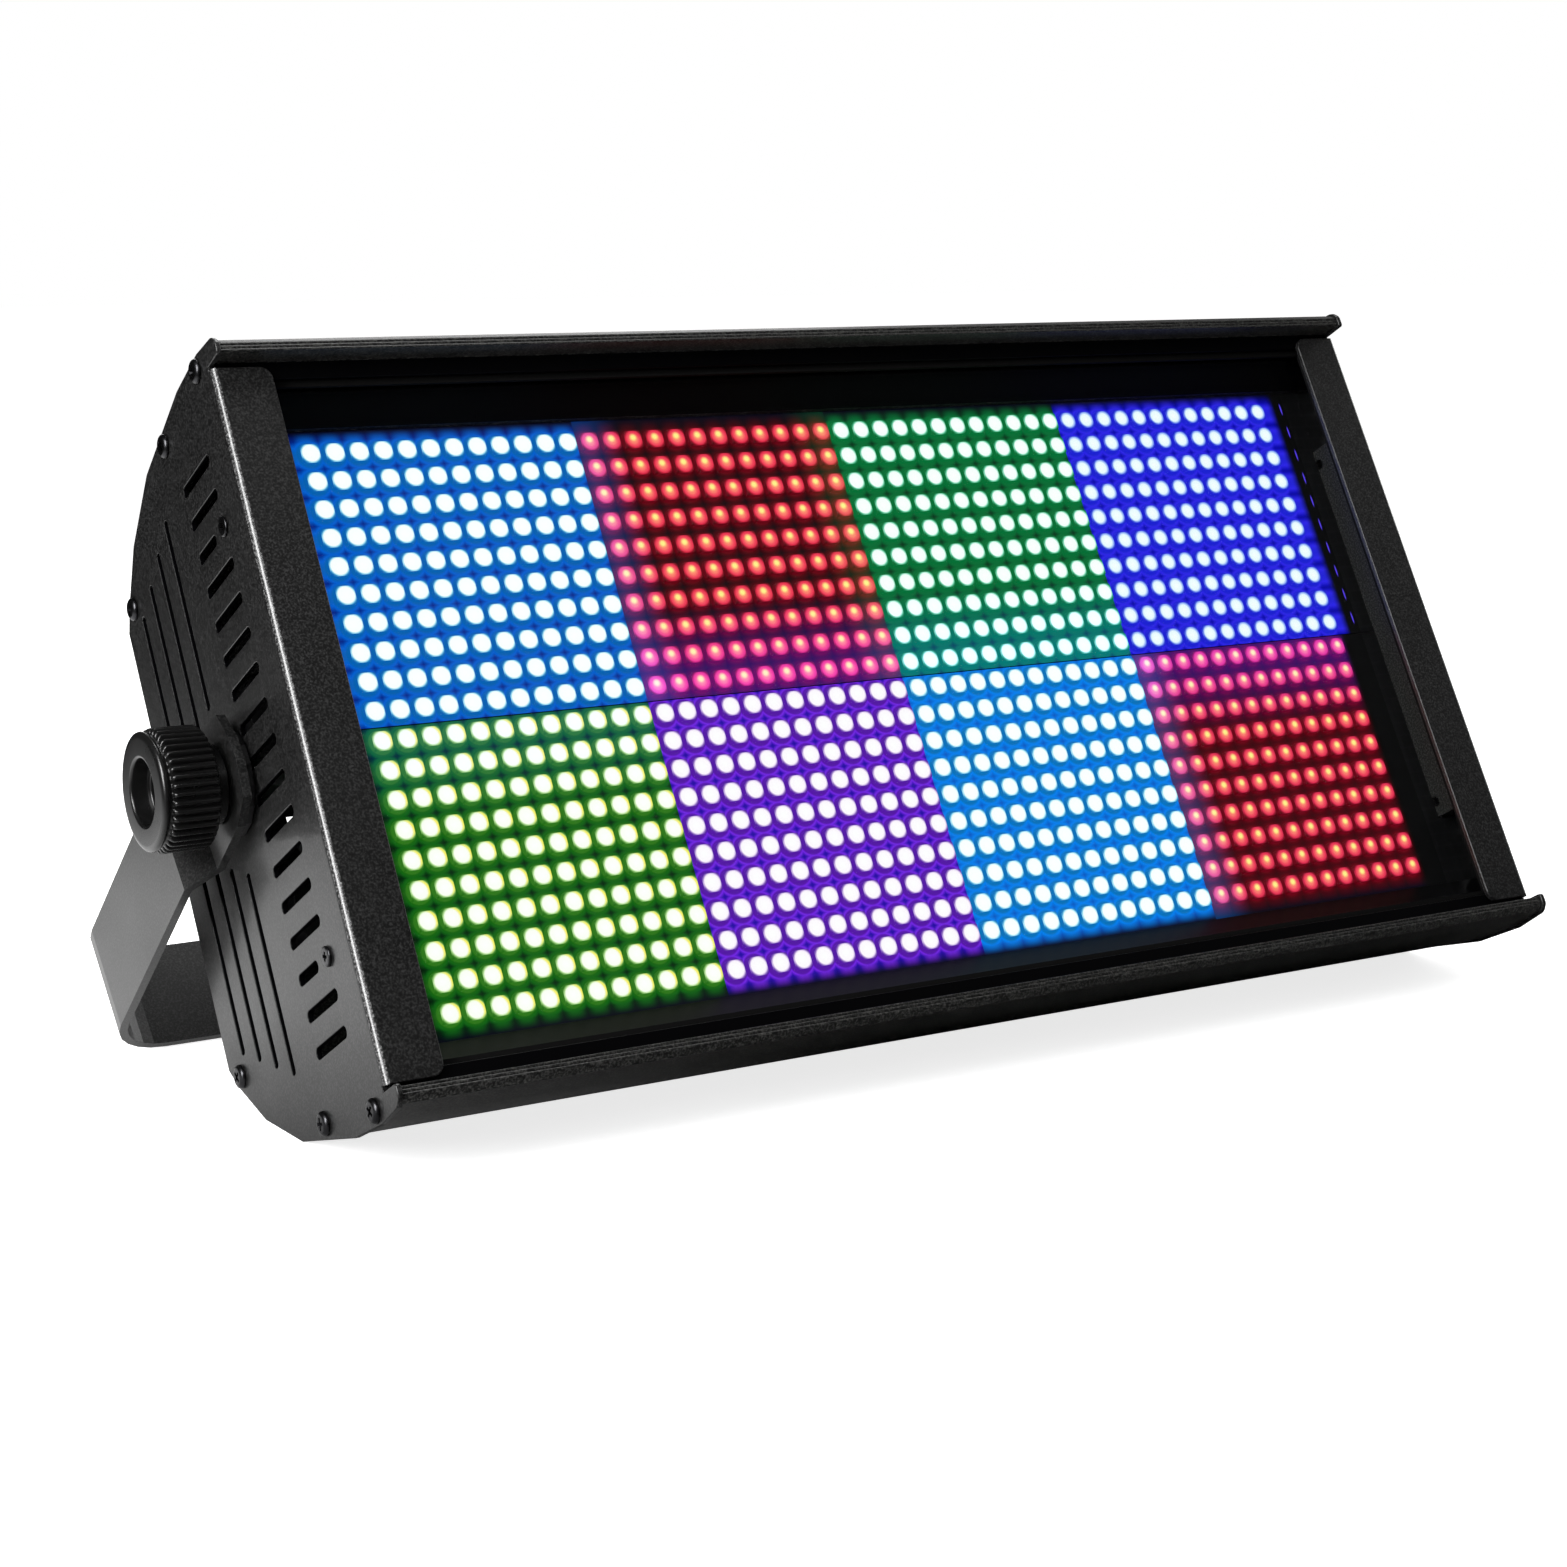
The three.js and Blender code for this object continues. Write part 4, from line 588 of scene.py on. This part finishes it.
# The bend's coat: lighter grains as a painted highlight along the fold, with a glossier film.
highlight_paint = powder_coat("rubbed powder coat", tone(24, 24, 24), tone(110, 110, 110), 0.6,
                           rough=0.3, film=0.75, gloss=0.2)
for side_name, side in (("left", -1), ("right", 1)):
    plate = bmesh.new()
    upper = [plate.verts.new(at(-plate_out, d, h)) for d, h in plate_outline]
    lower = [plate.verts.new(at(-plate_out, d, -h)) for d, h in plate_outline]
    loop = upper + lower[::-1]
    for a, b in zip(loop, loop[1:] + loop[:1]):
        plate.edges.new((a, b))
    tips = upper[nose_corners] + lower[nose_corners]
    bmesh.ops.bevel(plate, geom=tips, offset=nose_round * mm, segments=4, profile=0.5,
                    affect="VERTICES", material=-1)
    for i in range(short_slots):
        row = i - (short_slots - 1) / 2
        front = cut_slot_front if abs(row) == cut_short_row else short_slot_front
        run = (short_slot_back - front) / 2
        hole(plate, front + run, row * short_slot_pitch, short_slot_radius,
             Vector((0, run - short_slot_radius, 0)))
    for depth, foot, top in long_slots:
        run = (top - foot) / 2
        for turn in (1, -1):
            hole(plate, depth, turn * (foot + run), long_slot_radius,
                 Vector((0, 0, run - long_slot_radius)))
    for depth, height in screw_places.values():
        for turn in (1, -1):
            hole(plate, depth, turn * height, screw_hole_radius, segments=16)
    hole(plate, pivot_depth, 0, pivot_hole_radius, segments=32)
    bmesh.ops.triangle_fill(plate, use_beauty=True, use_dissolve=False, edges=plate.edges[:])
    fold = [e for e in flange_edges(plate.edges) if e.is_boundary
            and abs(e.verts[0].co.y - at(0, notch, 0).y) < 0.01 * mm]
    step = bmesh.ops.extrude_edge_only(plate, edges=fold)["geom"]
    bmesh.ops.translate(plate, vec=Vector((0, flange_bend - notch, 0)) * mm, verts=points_of(step))
    bend_centre = at(flange_bend - plate_out, flange_bend, 0)
    bend = bmesh.ops.spin(plate, geom=flange_edges(step), cent=bend_centre, axis=(0, 0, 1),
                          angle=math.pi / 2, steps=6, use_duplicate=False)["geom_last"]
    step = bmesh.ops.extrude_edge_only(plate, edges=flange_edges(bend))["geom"]
    rim = points_of(step)
    bmesh.ops.translate(plate, vec=Vector((flange_width - flange_bend, 0, 0)) * mm, verts=rim)
    bmesh.ops.bevel(plate, geom=rim, offset=flange_corner * mm, segments=6, profile=0.5,
                    affect="VERTICES", material=-1)
    bmesh.ops.recalc_face_normals(plate, faces=plate.faces)
    if sum(f.normal.x * f.calc_area() for f in plate.faces) > 0:
        bmesh.ops.reverse_faces(plate, faces=plate.faces)
    bmesh.ops.solidify(plate, geom=plate.faces[:], thickness=sheet * mm)
    bmesh.ops.recalc_face_normals(plate, faces=plate.faces)
    outside = at(0.1 - plate_out, 0.1, 0)
    outer = [e for e in plate.edges if e.calc_face_angle(0) > edge_angle
             and all(v.co.x < outside.x or v.co.y < outside.y for v in e.verts)]
    bmesh.ops.bevel(plate, geom=outer, offset=edge_round * mm, segments=2, profile=0.5,
                    affect="EDGES", clamp_overlap=False, material=-1)
    # Faces on the fold's bend take the lighter coat, a painted highlight.
    highlighted = at(highlight_reach - plate_out, highlight_reach, 0)
    for face in plate.faces:
        middle = face.calc_center_median()
        on_bend = middle.x < highlighted.x and middle.y < highlighted.y and abs(middle.z) < flange_top * mm
        # Faces across the sheet in the slots, holes and edges behind the flange take the near-black
        # material: painted shade in the cuts.
        crosses_sheet = abs(face.normal.x) < 0.4
        shaded_cut = crosses_sheet and middle.y > at(0, cut_start, 0).y
        face.material_index = 1 if on_bend else 2 if shaded_cut else 0
    if side > 0:
        bmesh.ops.scale(plate, vec=(-1, 1, 1), verts=plate.verts)
        bmesh.ops.reverse_faces(plate, faces=plate.faces)
    fit(f"{side_name}_side_sheet", plate, [plate_paint, highlight_paint, painted_shade_black],
        [f"{side_name}_end_plate"])

# Screws: black zinc-plated screws with a cross recess, cold headed from wire and rolled.
# Pan heads hold the end plates and the rear panel to the shells; low flat heads, two in
# each end plate, go to the glass strips.
pan_profile = [(0, -12), (1.2, -12), (1.5, -11.4), (1.5, 0), (3.4, 0), (3.4, 0.3), (3.25, 0.65),
               (2.95, 0.95), (2.6, 1.15), (2.35, 1.25)]
flat_profile = [(0, -9), (1.2, -9), (1.5, -8.4), (1.5, 0), (2.8, 0), (2.8, 0.25),
                (2.65, 0.5), (2.4, 0.6)]
pan_arm = 1.75
flat_arm = 1.3
cross_half_width = 0.48
cross_depth = 1.1
cross_taper = 0.7
seat_gap = 0.3
first_turn = 0.4
turn_per_screw = 0.7
turn_per_half = 0.35
panel_screw_place = (185, 103.3, 58)
panel_screw_turn = 0.6
black_zinc = drawn_metal("black zinc", tone(58, 58, 60), 0.3, "x", 0.1)


def screw(mesh, place, profile=pan_profile, arm=pan_arm):
    """One screw, its head's underside at the origin of its place."""
    before = set(mesh.verts)
    points = [mesh.verts.new(Vector((r, 0, h)) * mm) for r, h in profile]
    lines = [mesh.edges.new(pair) for pair in zip(points, points[1:])]
    bmesh.ops.spin(mesh, geom=points + lines, cent=(0, 0, 0), axis=(0, 0, 1), angle=2 * math.pi,
                   steps=24, use_merge=True, use_duplicate=False)
    turned = [v for v in mesh.verts if v not in before]
    bmesh.ops.remove_doubles(mesh, verts=turned, dist=0.01 * mm)
    turned = {v for v in mesh.verts if v not in before}
    rim = [e for e in mesh.edges if e.is_boundary and e.verts[0] in turned]
    w = cross_half_width
    star = [(arm, -w), (arm, w), (w, w), (w, arm), (-w, arm), (-w, w),
            (-arm, w), (-arm, -w), (-w, -w), (-w, -arm), (w, -arm), (w, -w)]
    cross = [mesh.verts.new(Vector((x, y, profile[-1][1])) * mm) for x, y in star]
    slot = [mesh.edges.new((p, q)) for p, q in zip(cross, cross[1:] + cross[:1])]
    bmesh.ops.triangle_fill(mesh, use_beauty=True, use_dissolve=False, edges=rim + slot)
    wall = bmesh.ops.extrude_edge_only(mesh, edges=slot)["geom"]
    foot = points_of(wall)
    bmesh.ops.scale(mesh, vec=(cross_taper, cross_taper, 1), verts=foot)
    bmesh.ops.translate(mesh, vec=(0, 0, -cross_depth * mm), verts=foot)
    bmesh.ops.triangle_fill(mesh, use_beauty=True, use_dissolve=False, edges=edges_between(wall, foot))
    mine = [v for v in mesh.verts if v not in before]
    bmesh.ops.transform(mesh, matrix=place, verts=mine)


for side_name, side in (("left", -1), ("right", 1)):
    screws = bmesh.new()
    names = []
    for half, turn in (("upper", 1), ("lower", -1)):
        for i, (where, (depth, height)) in enumerate(screw_places.items()):
            spot = Matrix.Translation(at(side * (plate_out + seat_gap), depth, turn * height))
            angle = first_turn + turn_per_screw * i + turn_per_half * turn + side
            outward = Matrix.Rotation(side * math.pi / 2, 4, "Y")
            spot = spot @ outward @ Matrix.Rotation(angle, 4, "Z")
            if where == "glass":
                screw(screws, spot, flat_profile, flat_arm)
            else:
                screw(screws, spot)
            names.append(f"{side_name}_{half}_{where}_screw")
        x, depth, height = panel_screw_place
        spot = Matrix.Translation(at(side * x, depth, turn * height))
        backward = Matrix.Rotation(-math.pi / 2, 4, "X")
        screw(screws, spot @ backward @ Matrix.Rotation(panel_screw_turn * side, 4, "Z"))
        names.append(f"{side_name}_{half}_panel_screw")
    bmesh.ops.recalc_face_normals(screws, faces=screws.faces)
    fit(f"{side_name}_screws", screws, [black_zinc], names)

# Rear: a powder-coated steel panel with two fan grilles, the menu and the sockets.
# The fans are moulded in black plastic, their rotors turning on the frames' hubs.


def moulded(name, colour, rough, grain=0.35, texture=0.25):
    """Moulded plastic with the fine eroded texture of its mould."""
    material, tree, shader = finish(name, colour, rough)
    place = add(tree, "TexCoord").outputs["Object"]
    spark = add(tree, "TexNoise", {"Vector": place, "Scale": 1 / (grain * mm), "Detail": 2})
    cloud = add(tree, "TexNoise", {"Vector": place, "Scale": 60, "Detail": 2})
    sheen = add(tree, "MapRange", {"Value": cloud.outputs[0], "To Min": rough - 0.06,
                                   "To Max": rough + 0.08})
    bump = add(tree, "Bump", {"Height": spark.outputs[0], "Strength": texture, "Distance": 0.03 * mm})
    tree.links.new(sheen.outputs[0], shader.inputs["Roughness"])
    tree.links.new(bump.outputs[0], shader.inputs["Normal"])
    return material


black_nylon = moulded("black nylon", tone(24, 24, 25), 0.42)
soften("rear_panel", plate_paint, 0.2)
for side_name in ("left", "right"):
    soften(f"{side_name}_fan_frame", black_nylon, 0.3)
    soften(f"{side_name}_fan_rotor", black_nylon, 0.25)

# Electronics: the mains supply in a galvanised case, and the driver and control boards
# in green solder mask with their dark parts.
galvanised, tree, shader = finish("galvanised steel", tone(168, 170, 170), 0.4, metallic=1)
spangle = add(tree, "TexVoronoi", {"Vector": add(tree, "TexCoord").outputs["Object"], "Scale": 140})
crystals = add(tree, "MapRange", {"Value": spangle.outputs["Distance"], "To Min": 0.3, "To Max": 0.55})
tints = add(tree, "MixRGB", {"Fac": 0.12, "Color1": tone(168, 170, 170),
                             "Color2": spangle.outputs["Color"]})
tree.links.new(tints.outputs[0], shader.inputs["Base Color"])
tree.links.new(crystals.outputs[0], shader.inputs["Roughness"])
soften("power_supply", galvanised, 0.4)


def circuit_board(name, face):
    """Green solder mask with its tracks up to the depth of its face, and dark parts past it."""
    material, tree, shader = finish(name, tone(20, 78, 44), 0.4)
    upright = upright_place(tree)
    depth = add(tree, "SeparateXYZ", {0: upright}).outputs["Y"]
    parts = add(tree, "MapRange", {"Value": depth, "From Min": at(0, face - face_blur, 0).y,
                                   "From Max": at(0, face + face_blur, 0).y})
    tracks = add(tree, "TexBrick", {"Vector": upright, "Scale": 160, "Color1": tone(20, 78, 44),
                                    "Color2": tone(24, 90, 50), "Mortar": tone(58, 132, 84)})
    colour = add(tree, "MixRGB", {"Fac": parts.outputs[0], "Color1": tracks.outputs[0],
                                  "Color2": tone(26, 26, 28)})
    tree.links.new(colour.outputs[0], shader.inputs["Base Color"])
    return material


driver_face = 45.6
control_face = 94.8
face_blur = 0.2
soften("driver_board", circuit_board("driver board", driver_face), 0.2)
soften("control_board", circuit_board("control board", control_face), 0.2)

# Menu: a dark display window and four grey keys, set in cut-outs of the rear panel with
# the control board behind them. The window is tinted plastic and the keys are moulded.
window_glass, tree, shader = finish("display window", tone(12, 22, 34), 0.12)
dots = add(tree, "TexChecker", {"Vector": add(tree, "TexCoord").outputs["Object"], "Scale": 1400,
                                "Color1": tone(12, 22, 34), "Color2": tone(16, 30, 44)})
tree.links.new(dots.outputs[0], shader.inputs["Base Color"])
soften("display", window_glass, 0.2)
key_grey = moulded("grey keys", tone(138, 144, 151), 0.45)
for name in ("menu_button", "up_button", "down_button", "enter_button"):
    soften(name, key_grey, 0.4, 3)

# Sockets: moulded data and mains inlets and outlets, and a fuse holder with a cap that
# comes off by a quarter turn, each set in a cut-out of the rear panel.
mains_blue = moulded("blue inlet plastic", tone(40, 92, 170), 0.4)
mains_grey = moulded("grey outlet plastic", tone(136, 142, 150), 0.4)
for name, plastic in (("dmx_in", black_nylon), ("dmx_out", black_nylon),
                      ("power_inlet", mains_blue), ("power_outlet", mains_grey),
                      ("fuse_holder", black_nylon), ("fuse_cap", black_nylon)):
    soften(name, plastic, 0.35, 3)

# Safety eye: a folded strap of black zinc-plated steel on the rear panel, for the wire
# that holds the lamp should its bracket fail.
soften("safety_eye", black_zinc, 0.4, 3)

# Bracket: one strap of steel, joggled and folded, powder coated like the housing.
# Black nylon washers let it turn against the end plates, on nuts inside them.
soften("bracket", plate_paint, 0.5, 3)
zinc_steel = drawn_metal("zinc steel", tone(188, 189, 188), 0.34, "y")
for side_name in ("left", "right"):
    soften(f"{side_name}_washer", black_nylon, 0.3)
    soften(f"{side_name}_pivot_nut", zinc_steel, 0.4)
    soften(f"{side_name}_knob_bolt", black_zinc, 0.4, 3)

# Knobs: moulded black plastic grips with forty-four ribs, a narrow neck, a smooth face
# with a rounded rim and a stepped recess, pressed on the heads of the bolts that clamp
# the bracket.
knob_ribs = 44
rib_shares = (0, 0.02, 0.3, 0.95, 1, 0.95, 0.3, 0.02)
knob_points = knob_ribs * len(rib_shares)
knob_rings = [
    (205.8, 4.3, 0), (205.8, 10.5, 0), (206.2, 11, 0), (209.9, 11.0, 0), (210.0, 15.2, 0.3),
    (210.4, 16.3, 0.8), (211.0, 16.9, 1.2), (211.6, 17, 1.3), (217.0, 17, 1.3), (222.4, 17, 1.3),
    (223.0, 16.8, 1.2), (223.4, 16.3, 0.8), (223.6, 15.7, 0.2), (223.8, 15.5, 0), (224.3, 15.5, 0),
    (224.5, 15.8, 0), (224.8, 16.2, 0), (225.3, 16.35, 0), (225.8, 16.2, 0), (226.2, 15.75, 0),
    (226.45, 15.1, 0), (226.5, 14.4, 0), (226.5, 10.0, 0), (226.4, 9.5, 0), (226.1, 9.2, 0),
    (225.6, 9.1, 0), (222.0, 9.1, 0), (221.6, 8.95, 0), (221.5, 8.6, 0), (221.5, 7.7, 0),
    (221.4, 7.4, 0), (221.0, 7.2, 0), (213.0, 7.2, 0), (212.6, 7.0, 0), (212.5, 6.6, 0),
    (212.5, 4.3, 0), (205.8, 4.3, 0),
]
knob_plastic = moulded("black knob plastic", tone(13, 13, 13), 0.27, 0.5, 0.08)
for side_name, side in (("left", -1), ("right", 1)):
    knob = bmesh.new()
    lie = Matrix.Rotation(math.pi / 2, 4, "Y")
    ring = bmesh.ops.create_circle(knob, segments=knob_points, radius=1, matrix=lie)["verts"]
    edges = knob.edges[:]
    for i, (x, radius, rib) in enumerate(knob_rings):
        if i:
            grown = bmesh.ops.extrude_edge_only(knob, edges=edges)["geom"]
            ring = points_of(grown)
            edges = edges_between(grown, ring)
        for vert in ring:
            angle = math.atan2(vert.co.z, vert.co.y)
            step = round(angle / (2 * math.pi) * knob_points) % len(rib_shares)
            reach = (radius - rib * rib_shares[step]) * mm
            vert.co = (side * x * mm, reach * math.cos(angle), reach * math.sin(angle))
    bmesh.ops.remove_doubles(knob, verts=knob.verts, dist=0.01 * mm)
    bmesh.ops.recalc_face_normals(knob, faces=knob.faces)
    fit(f"{side_name}_grip", knob, [knob_plastic], [f"{side_name}_knob"],
        body=f"{side_name}_clamp")

# Studio: a pale floor under an even white backdrop, soft lamps around the lamp, and
# the camera where the photograph's stood. Gloss mirrors a bright pool of the floor.
floor_mesh = bmesh.new()
bmesh.ops.create_grid(floor_mesh, x_segments=1, y_segments=1, size=30)
floor_data = bpy.data.meshes.new("floor")
floor_mesh.to_mesh(floor_data)
floor_mesh.free()
floor = bpy.data.objects.new("floor", floor_data)
bpy.context.scene.collection.objects.link(floor)
paper_white = (0.8, 0.8, 0.8, 1)
pool_middle = (-0.33, 0.2, 0)
paper, tree, shader = finish("pale paper", paper_white, 0.9, shine=0.2)
reach = add(tree, "VectorMath", {0: add(tree, "TexCoord").outputs["Object"], 1: pool_middle},
            operation="DISTANCE")
pool = add(tree, "MapRange", {"Value": reach.outputs["Value"], "From Min": 0.1, "From Max": 0.41,
                              "To Min": 0.7, "To Max": 0}, interpolation_type="SMOOTHSTEP")
seen = add(tree, "LightPath")
direct = add(tree, "Math", {0: seen.outputs["Is Camera Ray"], 1: seen.outputs["Is Transmission Ray"]},
             operation="MAXIMUM")
mirrored = add(tree, "Math", {0: seen.outputs["Is Glossy Ray"], 1: pool.outputs[0]},
               operation="MULTIPLY")
either = add(tree, "Math", {0: direct.outputs[0], 1: mirrored.outputs[0]}, operation="MAXIMUM")
lift = add(tree, "Math", {0: either.outputs[0], 1: 0.78}, operation="MULTIPLY")
hidden = add(tree, "Math", {0: seen.outputs["Is Glossy Ray"], 1: mirrored.outputs[0]},
             operation="SUBTRACT")
colour = add(tree, "MixRGB", {"Fac": hidden.outputs[0], "Color1": paper_white, "Color2": (0, 0, 0, 1)})
tree.links.new(colour.outputs[0], shader.inputs["Base Color"])
tree.links.new(lift.outputs[0], shader.inputs["Emission Strength"])
shader.inputs["Emission Color"].default_value = (1, 1, 1, 1)
floor_data.materials.append(paper)

world = bpy.data.worlds.new("studio")
bpy.context.scene.world = world
world.use_nodes = True
tree = world.node_tree
for node in tree.nodes[:]:
    tree.nodes.remove(node)
seen = add(tree, "LightPath")
direct = add(tree, "Math", {0: seen.outputs["Is Camera Ray"], 1: seen.outputs["Is Transmission Ray"]},
             operation="MAXIMUM")
level = add(tree, "MapRange", {"Value": seen.outputs["Is Glossy Ray"], "To Min": 0.35, "To Max": 0.03})
room = add(tree, "Background", {"Color": (1, 1, 1, 1), "Strength": level.outputs[0]})
white = add(tree, "Background", {"Color": (1, 1, 1, 1), "Strength": 1})
mix = add(tree, "MixShader", {0: direct.outputs[0], 1: room.outputs[0], 2: white.outputs[0]})
add(tree, "OutputWorld", {0: mix.outputs[0]})


def softbox(name, place, aim, width, height, power):
    """A soft rectangular lamp at a place, turned to what it lights."""
    lamp = bpy.data.lights.new(name, "AREA")
    lamp.shape = "RECTANGLE"
    lamp.size = width
    lamp.size_y = height
    lamp.energy = power
    holder = bpy.data.objects.new(name, lamp)
    bpy.context.scene.collection.objects.link(holder)
    holder.location = place
    holder.rotation_euler = (Vector(aim) - Vector(place)).to_track_quat("-Z", "Y").to_euler()


softbox("left_softbox", (-1.17, -0.41, 0.67), (-0.2, 0, 0.1), 0.5, 0.8, 24)
softbox("top_softbox", (0.2, 0.2, 1.3), (0, 0, 0.1), 0.6, 0.4, 10)
softbox("front_softbox", (-0.8, -0.87, 0.93), (0.1, 0, 0.1), 0.3, 0.3, 2)
softbox("back_softbox", (0.5, 1.3, 0.7), (0, 0, 0.1), 0.8, 0.8, 9)
softbox("right_softbox", (1.3, 0.3, 0.5), (0.2, 0, 0.1), 0.8, 0.8, 7)

camera = bpy.data.objects.new("camera", bpy.data.cameras.new("camera"))
bpy.context.scene.collection.objects.link(camera)
camera.location = (-0.49568, -0.75398, 0.2262)
camera.rotation_euler = [math.radians(a) for a in (80.301, 0.620, -32.177)]
camera.data.sensor_width = 36
camera.data.lens = 68.05
bpy.context.scene.camera = camera
bpy.context.scene.view_settings.view_transform = "Standard"
